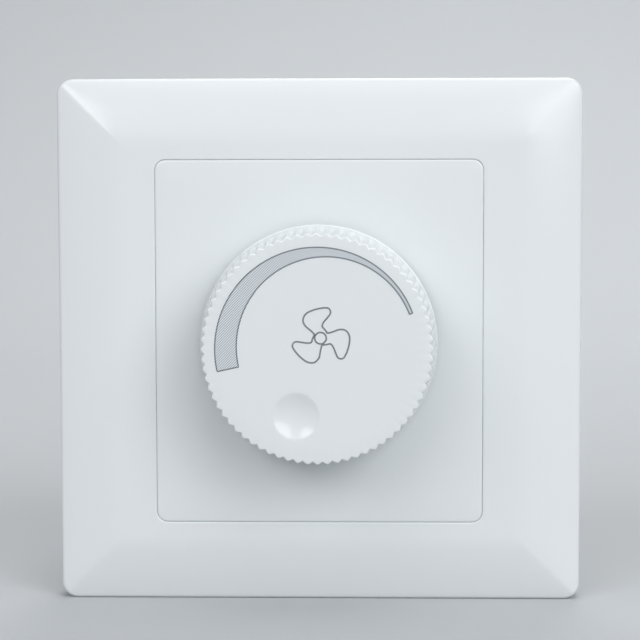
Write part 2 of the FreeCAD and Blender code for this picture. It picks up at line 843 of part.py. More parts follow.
def make_timing_capacitor():
    body = bar(timing_x, timing_y, timing_width, timing_thick, board_rear - timing_height, board_rear)
    uprights = [edge for edge in body.Edges if edge.BoundBox.ZLength > timing_height / 2]
    body = body.makeFillet(timing_thick / 3, uprights)
    return body.fuse(straight_leads(timing_leads, board_rear)).removeSplitter()


def make_choke_core():
    middle = Vector(choke_x, choke_y, 0)
    body = ring(core_radius, core_hole_radius, -core_height, 0)
    body.translate(middle + OUT * (board_rear - choke_wire - wire_clearance))
    return body


def make_choke_winding():
    """Turns of wire round the core's section, spread round the ring, with a lead from each end."""
    inner = core_hole_radius - wire_clearance
    outer = core_radius + wire_clearance
    front = board_rear - choke_wire
    rear = front - core_height - 2 * wire_clearance
    turns = []
    for k in range(choke_turns):
        half = choke_wire / 2
        loop = block(inner - choke_wire, outer + choke_wire, -half, half, rear - choke_wire, board_rear)
        loop = loop.cut(block(inner, outer, -half, half, rear, front))
        if k in (0, choke_turns - 1):
            lead = rod(half, front, board_front + lead_tail, choke_lead_radius, 0)
            loop = loop.fuse(lead).removeSplitter()
        loop.rotate(Vector(0, 0, 0), OUT, 90 - choke_span / 2 + choke_span * k / (choke_turns - 1))
        loop.translate(Vector(choke_x, choke_y, 0))
        turns.append(loop)
    return turns


def axial_part(x, y, size, along):
    """A lying round component on a bent wire; size is its radius, length and lead pitch."""
    radius, length, pitch = size
    centre = Vector(x, y, board_rear - radius)
    body = Part.makeCylinder(radius, length, centre - along * (length / 2), along)
    wire = Part.makeCylinder(lead_radius - bend_thinning, pitch, centre - along * (pitch / 2), along)
    legs = []
    for side in (-1, 1):
        foot = centre + along * (side * pitch / 2)
        legs.append(rod(lead_radius, foot.z - lead_radius, board_front + lead_tail, foot.x, foot.y))
    return body.fuse([wire] + legs).removeSplitter()


def make_resistors():
    size = (resistor_radius, resistor_length, resistor_pitch)
    return [axial_part(resistor_x, row, size, RIGHT) for row in resistor_rows]


def make_diac():
    return axial_part(diac_x, diac_y, (diac_radius, diac_length, diac_pitch), UP)


# Terminal block

def make_terminal_block():
    """Moulded body: a cavity for each cage from the board side, a wire entry and a screw well."""
    rear = board_rear - block_height
    body = block(-block_width / 2, block_width / 2, block_y, block_y + block_depth, rear, board_rear)
    cuts = []
    for x in way_places:
        room = 2 * cage_clearance
        top = cage_rear - cage_clearance
        cuts.append(bar(x, clamp_y, cage_width + room, cage_depth + room, top, board_rear))
        cuts.append(Part.makeCylinder(entry_radius, block_face, Vector(x, block_y, entry_z), UP))
        cuts.append(rod(terminal_screw_head + well_clearance, rear, cage_rear, x, clamp_y))
    return body.cut(cuts)


def make_terminal_clamps():
    """Brass cages, each with a window for the wire, a tapped top and a pin into the board."""
    clamps = []
    for x in way_places:
        body = bar(x, clamp_y, cage_width, cage_depth, cage_rear, cage_front)
        body = body.fuse(bar(x, clamp_y, pin_width, pin_thick, cage_front, board_front + lead_tail))
        window = bar(x, clamp_y, cage_window, cage_depth, cage_window_top, cage_window_top + cage_window)
        hole = rod(terminal_screw_radius + thread_clearance, cage_rear, cage_window_top, x, clamp_y)
        clamps.append(body.cut([window, hole]))
    return clamps


def make_terminal_screws():
    seat = cage_rear - screw_lift
    length = cage_window_top - seat
    size = (terminal_screw_radius, terminal_screw_head, terminal_screw_head_height)
    return [screw(x, clamp_y, seat, -1, length, size) for x in way_places]


def save(name, shape):
    """Stand a piece up against the wall and write it out; a list is a group of separate solids."""
    piece = Part.makeCompound(shape) if isinstance(shape, list) else shape
    piece.rotate(Vector(0, 0, 0), RIGHT, 90)
    piece.exportStep("parts/" + name + ".step")


def main():
    os.makedirs("parts", exist_ok=True)
    save("cover_frame", make_cover_frame())
    save("centre_panel", make_centre_panel())
    save("mounting_bracket", make_mounting_bracket())
    save("rear_housing", make_rear_housing())
    save("housing_screws", make_housing_screws())
    save("knob", make_knob())
    save("knob_clip", make_knob_clip())
    save("pot_shaft", make_pot_shaft())
    save("pot_bushing", make_pot_bushing())
    save("pot_washer", make_pot_washer())
    save("pot_nut", make_pot_nut())
    save("pot_case", make_pot_case())
    save("pot_wafer", make_pot_wafer())
    save("pot_rotor", make_pot_rotor())
    save("pot_wiper", make_pot_wiper())
    save("pot_terminals", make_pot_terminals())
    save("switch_case", make_switch_case())
    save("switch_terminals", make_switch_terminals())
    save("circuit_board", make_circuit_board())
    save("board_screws", make_board_screws())
    save("heat_sink", make_heat_sink())
    save("triac_tab", make_triac_tab())
    save("triac_body", make_triac_body())
    save("triac_leads", make_triac_leads())
    save("triac_screw", make_triac_screw())
    save("triac_nut", make_triac_nut())
    save("film_capacitor", make_film_capacitor())
    save("timing_capacitor", make_timing_capacitor())
    save("choke_core", make_choke_core())
    save("choke_winding", make_choke_winding())
    save("resistors", make_resistors())
    save("diac", make_diac())
    save("terminal_block", make_terminal_block())
    save("terminal_clamps", make_terminal_clamps())
    save("terminal_screws", make_terminal_screws())


main()
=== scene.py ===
import json
import math

import bmesh
import bpy
import numpy as np
from bpy.props import FloatProperty, FloatVectorProperty, IntProperty, PointerProperty
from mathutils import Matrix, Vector


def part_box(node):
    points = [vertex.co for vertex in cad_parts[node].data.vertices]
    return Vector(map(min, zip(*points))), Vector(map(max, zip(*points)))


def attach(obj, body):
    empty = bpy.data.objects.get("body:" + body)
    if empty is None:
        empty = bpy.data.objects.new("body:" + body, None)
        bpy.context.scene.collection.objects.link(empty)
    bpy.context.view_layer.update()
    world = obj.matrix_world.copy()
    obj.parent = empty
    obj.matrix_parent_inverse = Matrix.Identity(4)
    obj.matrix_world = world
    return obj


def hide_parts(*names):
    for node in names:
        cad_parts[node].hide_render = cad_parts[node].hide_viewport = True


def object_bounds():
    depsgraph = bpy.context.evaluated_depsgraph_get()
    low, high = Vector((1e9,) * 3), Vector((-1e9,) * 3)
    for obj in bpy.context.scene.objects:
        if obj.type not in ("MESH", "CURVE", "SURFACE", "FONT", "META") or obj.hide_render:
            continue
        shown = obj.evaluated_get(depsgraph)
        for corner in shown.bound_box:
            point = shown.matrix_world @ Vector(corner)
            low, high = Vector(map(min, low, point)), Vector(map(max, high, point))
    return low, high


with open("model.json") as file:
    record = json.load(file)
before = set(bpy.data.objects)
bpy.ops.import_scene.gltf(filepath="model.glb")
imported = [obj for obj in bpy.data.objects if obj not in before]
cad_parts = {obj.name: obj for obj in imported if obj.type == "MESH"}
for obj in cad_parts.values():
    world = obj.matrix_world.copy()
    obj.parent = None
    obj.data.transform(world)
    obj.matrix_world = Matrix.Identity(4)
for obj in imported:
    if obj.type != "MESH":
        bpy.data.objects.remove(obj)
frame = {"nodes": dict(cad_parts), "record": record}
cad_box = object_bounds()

bl_info = {
    "name": "Fan speed control",
    "version": (1, 0, 0),
    "blender": (4, 5, 0),
    "location": "3D View > Sidebar > Fan control",
    "description": "Dresses a wall-mounted fan speed control: plate, panel, knob, print and finishes",
    "category": "Object",
}

# Shapes are worked out on a bench: x to the right, y up the face, z out towards the user, z = 0 in the
# wall plane. The function stand() turns them upright. Lengths are in metres, and MM is one millimetre.
MM = 0.001

# How finely the surfaces are divided
CORNER_STEPS = 24
SIDE_STEPS = 24
SLOPE_ROWS = 56
FLAT_ROWS = 8
ROUND_ROWS = 7
COLUMNS_PER_TOOTH = 8
DIMPLE_ROWS = 46
MIDDLE_ROWS = 8
RIM_ROWS = 12
SIDE_ROWS = 4
BOSS_STEPS = 72
SCALE_STEPS = 260
SCALE_END_STEPS = 7
BLADE_STEPS = 12
SHARP_ANGLE = math.radians(32)
MERGE_DISTANCE = 0.0005 * MM
INSIDE_OVERLAP = 0.05 * MM
# Share of a wall's thickness up to which a cut through it takes in points
CUT_REACH = 1.05

# One blade of the fan sign, from the hub round its tip to the next blade: distance from the middle of the
# blades in mm, and degrees clockwise from the top
BLADE = (
    (1.2, -66), (1.9, -57), (3.2, -53.5), (4.05, -45), (4.45, -31), (4.52, -13), (4.68, 4),
    (4.72, 14.5), (4.15, 20.5), (3.3, 17), (2.35, 8), (1.75, 5), (1.43, 19), (1.25, 38))
BLADE_COUNT = 3

# Numbers that Blender gives to the sockets of a colour mix
MIX_SHARE = 0
MIX_A = 6
MIX_B = 7
MIX_RESULT = 2
# Spacing of the bands in Blender's wave pattern at scale 1
WAVE_SPACING = math.pi / 10
WHITE_ABS = "Polished white ABS"

# Stage, in metres: a floor that bends up into a backdrop
FLOOR_FRONT = -1.2
FLOOR_HALF = 1.2
BACKDROP_PLACE = 0.55
BACKDROP_BEND = 0.2
BACKDROP_HEIGHT = 1.2
BACKDROP_STEPS = 16
SENSOR = 36.0
CLIP_START = 0.01

# Softboxes round the object: name, setting of its power, degrees off the axis of the face, degrees
# clockwise from the top, distance and width in metres
SOFTBOXES = (
    ("key_softbox", "key", 52, 47, 1.8, 1.0),
    ("near_softbox", "near", 37, 50, 1.8, 1.4),
    ("front_softbox", "front", 32, -43, 1.8, 0.7),
    ("left_softbox", "left", 54, -45, 1.8, 1.0),
    ("top_softbox", "top", 50, 0, 1.8, 1.0),
    ("overhead_softbox", "overhead", 88, 5, 1.8, 1.2),
    ("right_side_softbox", "right_side", 88, 78, 1.8, 0.7),
    ("left_side_softbox", "left_side", 88, -78, 1.8, 0.7),
    ("rear_softbox", "rear", 140, 10, 0.6, 0.4),
)


def linear(code):
    """An sRGB hex colour as linear red, green, blue and a full alpha."""
    srgb = np.array([int(code[place:place + 2], 16) for place in (1, 3, 5)]) / 255
    low = srgb / 12.92
    high = ((srgb + 0.055) / 1.055) ** 2.4
    return (*np.where(srgb <= 0.04045, low, high).tolist(), 1.0)


def length(label, text, millimetres):
    """A length setting whose default is given in millimetres."""
    return FloatProperty(
        name=label, description=text, default=millimetres * MM, unit="LENGTH", precision=5)


def angle(label, text, degrees):
    """An angle setting whose default is given in degrees."""
    return FloatProperty(name=label, description=text, default=math.radians(degrees), subtype="ANGLE")


def power(label, text, watts):
    """A setting of a lamp's power in watts."""
    return FloatProperty(name=label, description=text, default=watts, unit="POWER")


def colour(label, text, code):
    """A colour setting whose default is an sRGB hex value."""
    return FloatVectorProperty(
        name=label, description=text, default=linear(code), size=4, min=0, max=1, subtype="COLOR")


def across(node, axis):
    """The size of a node of the frame along one axis, in millimetres."""
    low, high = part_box(node)
    return round((high[axis] - low[axis]) / MM, 2)


class PlateSizes(bpy.types.PropertyGroup):
    """Sizes of the cover frame."""
    width: length("Width", "Plate width", across("cover_frame", 0))
    height: length("Height", "Plate height", across("cover_frame", 2))
    corner: length("Corner", "Radius of the outer corners", 2.7)
    front: length("Front", "Height of the flat above the wall", 8.2)
    rim: length("Rim", "Height of the rim above the wall", 6.0)
    rim_round: length("Rim rounding", "Radius along the rim", 0.5)
    ridge_inset: length("Ridge inset", "Distance of the ridge from the rim", 11.0)
    ridge_radius: length("Ridge radius", "Radius of the soft ridge", 18.0)
    slope_radius: length("Slope radius", "Radius of the slightly domed slope", 50.0)
    wall: length("Wall", "Wall thickness", 2.0)
    seam: length("Seam", "Gap between frame and panel", 0.01)
    lip: length("Lip", "Rounding of the aperture's edge and of the rear edge", 0.2)
    mitre: length("Mitre softness", "How far the mitre lines are blended", 0.26)
    ridge_corner: length("Ridge corner", "Corner radius of the ridge line", 3.0)
    mitre_corner: length("Mitre corner", "Corner radius of the lines along the slope", 0.6)
    notch_width: length("Notch width", "Width of the notch for prising the cover off", 8.0)
    notch_height: length("Notch height", "Height of that notch", 1.2)
    hook_x: length("Hook place", "Distance of the hooks from the middle", 18.0)
    hook_inset: length("Hook inset", "Distance of the hooks from the plate's edge", 8.0)


class PanelSizes(bpy.types.PropertyGroup):
    """Sizes of the centre panel."""
    width: length("Width", "Panel width", across("centre_panel", 0))
    height: length("Height", "Panel height", 59.6)
    corner: length("Corner", "Radius of the corners", 1.8)
    edge: length("Edge", "Rounding of the front edge", 0.36)
    rear: length("Rear", "Height of the skirt's rear edge above the wall", 2.2)
    wall: length("Wall", "Wall thickness", 2.0)
    skirt: length("Skirt", "Thickness of the skirt", 1.8)
    hole: length("Hole", "Radius of the hole for the bushing", 3.6)
    relief_width: length("Relief width", "Width of the cut in the skirt over each wall screw", 10.0)
    relief_height: length("Relief height", "Height of that cut", 3.2)
    hook_x: length("Hook place", "Distance of the hooks from the middle", 12.0)


class HookSizes(bpy.types.PropertyGroup):
    """Sizes of the snap hooks."""
    width: length("Width", "Hook width", 6.0)
    thick: length("Thickness", "Hook thickness", 1.2)
    barb: length("Barb", "How far the barb stands out", 0.8)
    reach: length("Reach", "How far the hook goes behind the bracket", 1.8)


class KnobSizes(bpy.types.PropertyGroup):
    """Sizes of the knob."""
    teeth: IntProperty(
        name="Teeth", description="Number of teeth round the rim", default=72, min=12, max=120)
    tooth_depth: length("Tooth depth", "Depth of the flutes", 0.48)
    base: length("Base", "Height of the rear edge above the wall", 9.2)
    front: length("Front", "Height of the face above the wall", 21.2)
    base_radius: length("Base radius", "Radius over the teeth at the rear edge", 19.3)
    front_radius: length("Front radius", "Radius over the teeth at the face", 18.4)
    edge: length("Edge", "Rounding of the front edge", 0.3)
    ring_height: length("Ring height", "Height of the plain ring at the rear edge", 1.2)
    ring_step: length("Ring step", "How far that ring stands out from the teeth", 0.15)
    run_out: FloatProperty(
        name="Run-out", description="Share of the rim where the flutes begin to fade", default=0.45)
    wall: length("Wall", "Wall thickness", 1.6)
    cap: length("Cap", "Thickness of the face", 2.0)
    dimple_radius: length("Dimple radius", "Radius of the finger dimple", 3.7)
    dimple_depth: length("Dimple depth", "Depth of the finger dimple", 0.7)
    dimple_offset: length("Dimple place", "Distance of the dimple from the axis", 11.1)
    dimple_edge: length("Dimple edge", "Softness of the dimple's edge", 0.05)
    pad_wall: length("Pad wall", "Plastic round the dimple on the inside", 1.2)
    boss_radius: length("Boss radius", "Outer radius of the boss", 5.5)
    boss_end: length("Boss end", "Height of the boss's end above the wall", 13.6)
    bore: length("Bore", "Radius of the bore for the shaft", 3.02)
    bore_flat: length("Bore flat", "Distance of the bore's flat from the axis", 1.52)
    slit_width: length("Slit width", "Width of the slit across the boss", 1.0)
    slit_depth: length("Slit depth", "Depth of that slit", 2.5)
    ribs: IntProperty(name="Ribs", description="Number of ribs under the face", default=6, min=2, max=12)
    rib_thick: length("Rib thickness", "Thickness of the ribs", 1.2)
    rib_height: length("Rib height", "Height of the ribs", 4.0)
    rest: angle("Rest turn", "How far the knob is turned at rest, clockwise being negative", -17.3)


class PrintSizes(bpy.types.PropertyGroup):
    """Sizes and places of the print on the knob."""
    thick: length("Ink thickness", "Thickness of the ink", 0.02)
    line: length("Line", "Width of the outlines", 0.21)
    scale_radius: length("Scale radius", "Radius of the scale's outer edge", 16.1)
    wide_width: length("Wide width", "Width of the scale at its wide end", 3.45)
    narrow_width: length("Narrow width", "Width of the scale at its narrow end", 0.53)
    wide_end: angle("Wide end", "Angle of the scale's wide end, clockwise from the top", -102.5)
    narrow_end: angle("Narrow end", "Angle of the scale's narrow end, clockwise from the top", 69.0)
    screen: length("Screen", "Spacing of the print's screen lines", 0.287)
    screen_angle: angle("Screen angle", "Direction of the screen lines", -44.4)
    sign_x: length("Sign x", "Place of the fan sign to the right of the axis", 0.7)
    sign_y: length("Sign y", "Place of the fan sign above the axis", 1.91)
    sign_line: length("Sign line", "Line width of the fan sign", 0.26)
    hub: length("Hub", "Radius of the fan sign's hub", 0.91)
    hub_x: length("Hub x", "Place of the hub to the right of the blades' middle", -0.13)
    hub_y: length("Hub y", "Place of the hub above the blades' middle", -0.1)


class FinishColours(bpy.types.PropertyGroup):
    """Colours of the finishes."""
    white: colour("White ABS", "Cover frame, panel and knob", "#E6EBEE")
    bracket: colour("Bracket", "Mounting bracket", "#DDE0E0")
    housing: colour("Housing", "Rear housing", "#D9DCDC")
    ink: colour("Ink", "Outlines of the print", "#0C1422")
    ink_gap: colour("Ink between screen lines", "Paler part of the outlines", "#A2AAB4")
    scale: colour("Scale", "Fill of the scale", "#E8EDF1")
    scale_line: colour("Scale lines", "Screen lines in the fill", "#9CA5AE")
    floor: colour("Floor", "Floor and backdrop as seen", "#BCC0C3")
    bounce: colour("Floor bounce", "Floor and backdrop as they throw light back on the object", "#A8ABAD")
    room: colour("Room", "What lies beyond the backdrop", "#C0C4C7")


class StageSettings(bpy.types.PropertyGroup):
    """Camera and light."""
    lens: FloatProperty(
        name="Lens", description="Focal length on a 36 mm sensor", default=112.5, unit="CAMERA")
    camera_x: length("Camera x", "Camera place to the right", 8.8)
    camera_y: length("Camera y", "Camera place in front, negative", -334.1)
    camera_z: length("Camera z", "Camera height above the axis", 29.7)
    pitch: angle("Pitch", "Camera tilt above the level", -4.57)
    yaw: angle("Yaw", "Camera turn to the left", 1.51)
    roll: angle("Roll", "Camera roll", 0.11)
    key: power("Key", "Power of the softbox above right", 5.6)
    near: power("Near", "Power of the softbox above right that stands nearer the camera", 11.8)
    front: power("Front", "Power of the softbox above left that stands nearer the camera", 3.6)
    left: power("Left", "Power of the softbox above left", 6.4)
    top: power("Top", "Power of the softbox above", 2.8)
    overhead: power("Overhead", "Power of the softbox overhead", 8.4)
    right_side: power("Right side", "Power of the softbox level with the right edge", 2.8)
    left_side: power("Left side", "Power of the softbox level with the left edge", 1.8)
    rear: power("Rear", "Power of the softbox behind", 1.2)
    world: FloatProperty(
        name="Room light", description="Strength of the even light all round", default=0.09)


class FanControlSettings(bpy.types.PropertyGroup):
    """All settings of the fan speed control."""
    plate: PointerProperty(type=PlateSizes)
    panel: PointerProperty(type=PanelSizes)
    hook: PointerProperty(type=HookSizes)
    knob: PointerProperty(type=KnobSizes)
    ink: PointerProperty(type=PrintSizes)
    finish: PointerProperty(type=FinishColours)
    stage: PointerProperty(type=StageSettings)


# Surfaces

def stand(points):
    """Bench points turned upright: x stays, y becomes up, and z out of the wall becomes -Y."""
    x, y, z = np.moveaxis(np.asarray(points, float), -1, 0)
    return np.stack([x, -z, y], axis=-1)


def lattice(points, closed_rows, closed_columns):
    """Corners and four-sided faces of a grid of points, joined end to end where a direction is closed."""
    rows, columns = points.shape[:2]
    row = np.arange(rows if closed_rows else rows - 1)[:, None]
    column = np.arange(columns if closed_columns else columns - 1)[None, :]
    next_row = (row + 1) % rows
    next_column = (column + 1) % columns
    corners = [row * columns + column, row * columns + next_column,
               next_row * columns + next_column, next_row * columns + column]
    return points.reshape(-1, 3), np.stack(corners, axis=-1).reshape(-1, 4)


def prism(outline, low, high):
    """An outline in the xy plane carried straight from one height to another, with its two end faces."""
    count = len(outline)
    heights = np.array([low, high])
    points = np.empty((2, count, 3))
    points[..., :2] = outline
    points[..., 2] = heights[:, None]
    corners, sides = lattice(points, False, True)
    ends = [np.arange(count)[::-1].tolist(), (np.arange(count) + count).tolist()]
    return corners, sides.tolist() + ends


def spun(shape, turn):
    """A shape turned about the knob's axis by an angle, counter-clockwise."""
    corners, faces = shape
    x, y, z = corners.T
    c, s = math.cos(turn), math.sin(turn)
    return np.stack([c * x - s * y, s * x + c * y, z], axis=-1), faces


def piece(name, shapes, material):
    """One object from closed shapes: doubles merged, faces turned outwards and sharp edges marked."""
    corners = []
    faces = []
    for points, polygons in shapes:
        start = sum(len(block) for block in corners)
        corners.append(points)
        faces += [[start + int(corner) for corner in polygon] for polygon in polygons]
    mesh = bpy.data.meshes.new(name)
    mesh.from_pydata(stand(np.concatenate(corners)).tolist(), [], faces)
    shell = bmesh.new()
    shell.from_mesh(mesh)
    bmesh.ops.remove_doubles(shell, verts=shell.verts, dist=MERGE_DISTANCE)
    bmesh.ops.dissolve_degenerate(shell, edges=shell.edges, dist=MERGE_DISTANCE)
    bmesh.ops.recalc_face_normals(shell, faces=shell.faces)
    shell.to_mesh(mesh)
    shell.free()
    mesh.shade_smooth()
    mesh.set_sharp_from_angle(angle=SHARP_ANGLE)
    mesh.materials.append(material)
    made = bpy.data.objects.new(name, mesh)
    bpy.context.scene.collection.objects.link(made)
    return made


def loop_columns(side_steps):
    """Shares for the points of a rounded rectangle, corner by corner and side by side.

    A point is x = a (half width - radius) + b radius and y = c (half height - radius) + d radius; on a
    corner b and d are the cosine and sine of its arc, and along a side all four run straight to the next
    corner."""
    arc = np.linspace(0, math.pi / 2, CORNER_STEPS + 1)
    starts = np.arange(4) * math.pi / 2
    sign_x = np.array([1, -1, -1, 1])
    sign_y = np.array([1, 1, -1, -1])
    turn = starts[:, None] + arc[None, :]
    ones = np.ones_like(turn)
    corner = np.stack([sign_x[:, None] * ones, np.cos(turn), sign_y[:, None] * ones, np.sin(turn)])
    share = np.asarray(side_steps)[None, None, :]
    side = corner[:, :, -1:] * (1 - share) + np.roll(corner[:, :, :1], -1, axis=1) * share
    return np.concatenate([corner, side], axis=2).reshape(4, -1)


def rounded_loops(columns, half_x, half_y, radius):
    """Rows of rounded rectangles from arrays of half widths, half heights and corner radii."""
    a, b, c, d = columns[:, None, :]
    half_x, half_y, radius = (np.asarray(size, float)[:, None] for size in (half_x, half_y, radius))
    return a * (half_x - radius) + b * radius, c * (half_y - radius) + d * radius


def side_steps_with(cut_half, straight_half, count):
    """Even steps along a side, with close pairs of steps where a cut begins and ends."""
    even = np.linspace(0, 1, count + 2)[1:-1]
    edge = cut_half / (2 * straight_half)
    close = 1e-4
    cuts = [0.5 - edge - close, 0.5 - edge, 0.5 + edge, 0.5 + edge + close]
    return np.sort(np.concatenate([even, cuts]))


def slope_height(reach, half, plate):
    """Height of the plate's section at a distance from its middle: a flat, a ridge arc, a domed arc."""
    ridge_x = half - plate.ridge_inset
    ridge_z = plate.front - plate.ridge_radius
    span_x = ridge_x - half
    span_z = ridge_z - plate.rim
    span = math.hypot(span_x, span_z)
    inner = plate.slope_radius - plate.ridge_radius
    along = (plate.slope_radius ** 2 - inner ** 2 + span ** 2) / (2 * span)
    aside = math.sqrt(plate.slope_radius ** 2 - along ** 2)
    dome_x = half + (span_x * along - span_z * aside) / span
    dome_z = plate.rim + (span_z * along + span_x * aside) / span
    meet_x = dome_x + (ridge_x - dome_x) * plate.slope_radius / inner
    on_ridge = ridge_z + np.sqrt(np.maximum(plate.ridge_radius ** 2 - (reach - ridge_x) ** 2, 0))
    on_dome = dome_z + np.sqrt(np.maximum(plate.slope_radius ** 2 - (reach - dome_x) ** 2, 0))
    return np.where(reach <= ridge_x, plate.front, np.where(reach <= meet_x, on_ridge, on_dome))


def plate_height_at(x, y, plate):
    """Height of the cover: the lower of its two crossed sections, blended along the mitre lines."""
    across_x = slope_height(np.abs(x), plate.width / 2, plate)
    across_y = slope_height(np.abs(y), plate.height / 2, plate)
    drop = plate.front - np.minimum(across_x, across_y)
    fade_drop = 0.4 * MM
    soft = plate.mitre * (1 - np.exp(-drop / fade_drop))
    return (across_x + across_y - np.sqrt((across_x - across_y) ** 2 + soft ** 2)) / 2


def snap_hooks(reach_x, reach_y, root, hook):
    """Four cantilever hooks, left and right and low and high, with barbs facing away from the middle: one
    profile carried across the width."""
    shapes = []
    for x, side in ((-reach_x, -1), (-reach_x, 1), (reach_x, -1), (reach_x, 1)):
        y = side * reach_y
        outer = y + side * hook.thick
        profile = np.array([(y, root), (outer, root), (outer, 0), (outer + side * hook.barb, 0),
                            (outer, -hook.reach), (y, -hook.reach)])
        corners, faces = prism(profile, x - hook.width / 2, x + hook.width / 2)
        shapes.append((corners[:, [2, 0, 1]], faces))
    return shapes


# Shapes of the pieces

def cover_frame_shell(plate, panel):
    """The cover frame as one closed grid: rounded rectangles that run from the aperture over the flat, the
    slope and the rim, down the side, and back inside along the wall's underside."""
    half_x = plate.width / 2
    half_y = plate.height / 2
    hole_x = panel.width / 2 + plate.seam
    hole_y = panel.height / 2 + plate.seam
    hole_corner = panel.corner + plate.seam
    steps = side_steps_with(plate.notch_width / 2, half_x - plate.corner, SIDE_STEPS)
    columns = loop_columns(steps)
    quarter = np.linspace(0, math.pi / 2, ROUND_ROWS)
    blocks = []

    def add(offset_x, offset_y, radius, height):
        x, y = rounded_loops(columns, offset_x, offset_y, radius)
        z = height(x, y) if callable(height) else np.asarray(height)[:, None] + 0 * x
        blocks.append(np.stack([x, y, z], axis=-1))

    def under(x, y):
        return plate_height_at(x, y, plate) - plate.wall

    back = plate.lip * (1 - np.cos(quarter))
    add(hole_x + back, hole_y + back, hole_corner + back, plate.front - plate.lip * (1 - np.sin(quarter)))
    share = np.linspace(0, 1, FLAT_ROWS + 2)[1:-1]
    ridge_x = half_x - plate.ridge_inset
    ridge_y = half_y - plate.ridge_inset
    flat_x = (hole_x + plate.lip) * (1 - share) + ridge_x * share
    flat_y = (hole_y + plate.lip) * (1 - share) + ridge_y * share
    flat_corner = (hole_corner + plate.lip) * (1 - share) + plate.ridge_corner * share
    add(flat_x, flat_y, flat_corner, np.full_like(share, plate.front))
    share = np.linspace(0, 1, SLOPE_ROWS)
    inset = plate.ridge_inset * (1 - share) + plate.rim_round * share
    # The corners are tight along the mitre, and open to the ridge line's and the rim's own at its ends
    near_ridge = (plate.ridge_corner - plate.mitre_corner) * (1 - share) ** 4
    near_rim = (plate.corner - plate.rim_round - plate.mitre_corner) * share ** 6
    add(half_x - inset, half_y - inset, plate.mitre_corner + near_ridge + near_rim,
        lambda x, y: plate_height_at(x, y, plate))
    inset = plate.rim_round * (1 - np.sin(quarter[1:]))
    fall = plate.rim_round * (1 - np.cos(quarter[1:]))
    add(half_x - inset, half_y - inset, plate.corner - inset,
        lambda x, y: plate_height_at(x, y, plate) - fall[:, None])
    down = np.linspace(0, 1, SIDE_ROWS + 1)[1:]
    level = np.zeros_like(down)
    add(half_x + level, half_y + level, plate.corner + level,
        lambda x, y: (plate_height_at(x, y, plate) - plate.rim_round) * (1 - down[:, None])
        + plate.lip * down[:, None])
    inset = plate.lip * (1 - np.cos(quarter[1:]))
    add(half_x - inset, half_y - inset, plate.corner - inset, plate.lip * (1 - np.sin(quarter[1:])))
    inset = np.array([plate.wall])
    add(half_x - inset, half_y - inset, plate.corner - inset, np.zeros(1))
    share = np.linspace(0, 1, SLOPE_ROWS // 2)
    inset = plate.wall * (1 - share) + plate.ridge_inset * share
    add(half_x - inset, half_y - inset, (plate.corner - plate.wall) + 0 * share, under)
    add([hole_x], [hole_y], [hole_corner], [plate.front - plate.wall])
    points = np.concatenate(blocks)
    x, y, z = np.moveaxis(points, -1, 0)
    in_width = np.abs(x) <= plate.notch_width / 2 + MERGE_DISTANCE
    in_wall = y < plate.wall * CUT_REACH - half_y
    points[..., 2] = np.where(in_width & in_wall, np.maximum(z, plate.notch_height), z)
    return lattice(points, True, True)


def centre_panel_shell(plate, panel):
    """The centre panel as one closed grid: from the round hole over the flat and the rounded edge, down
    the skirt and back under the wall. Between hole and edge, a row is part circle and part outline."""
    half_x = panel.width / 2
    half_y = panel.height / 2
    steps = side_steps_with(panel.relief_width / 2, half_y - panel.corner, SIDE_STEPS)
    columns = loop_columns(steps)
    quarter = np.linspace(0, math.pi / 2, ROUND_ROWS)
    inset = panel.edge * (1 - np.sin(quarter))
    inner_corner = max(panel.corner - panel.skirt, panel.edge)
    inset = np.concatenate([inset, [0.0, 0.0, panel.skirt, panel.skirt]])
    corner = np.concatenate([panel.corner - inset[:-2], [inner_corner, inner_corner]])
    x, y = rounded_loops(columns, half_x - inset, half_y - inset, corner)
    middle = (panel.rear + plate.front) / 2
    inside = plate.front - panel.wall
    height = np.concatenate([plate.front - panel.edge * (1 - np.cos(quarter)),
                             [middle, panel.rear, panel.rear, inside]])
    outer = np.stack([x, y, height[:, None] + 0 * x], axis=-1)
    round_x = panel.hole * x[0] / np.hypot(x[0], y[0])
    round_y = panel.hole * y[0] / np.hypot(x[0], y[0])
    share = np.linspace(0, 1, FLAT_ROWS)[:-1, None]
    flat_x = round_x * (1 - share) + x[0] * share
    flat_y = round_y * (1 - share) + y[0] * share
    flat = np.stack([flat_x, flat_y, plate.front + 0 * flat_x], axis=-1)
    below = np.stack([round_x, round_y, inside + 0 * round_x], axis=-1)[None]
    points = np.concatenate([flat, outer, below])
    x, y, z = np.moveaxis(points, -1, 0)
    in_width = np.abs(y) <= panel.relief_width / 2 + MERGE_DISTANCE
    in_skirt = np.abs(x) > half_x - panel.skirt * CUT_REACH
    points[..., 2] = np.where(in_width & in_skirt, np.maximum(z, panel.rear + panel.relief_height), z)
    return lattice(points, True, True)


def tooth_height(turn, teeth):
    """Share of the tooth's depth at an angle: straight flanks, a rounded tip and a narrower valley."""
    phase = (turn * teeth / (2 * math.pi)) % 1.0
    rise = 1 - np.abs(2 * phase - 1)
    tip_share = 0.24
    tip_round = 0.3
    valley_round = 0.08
    flank = (np.sqrt(rise ** 2 + valley_round ** 2) - valley_round) / (1 - tip_share)
    return (flank + 1 - np.sqrt((flank - 1) ** 2 + tip_round ** 2)) / 2


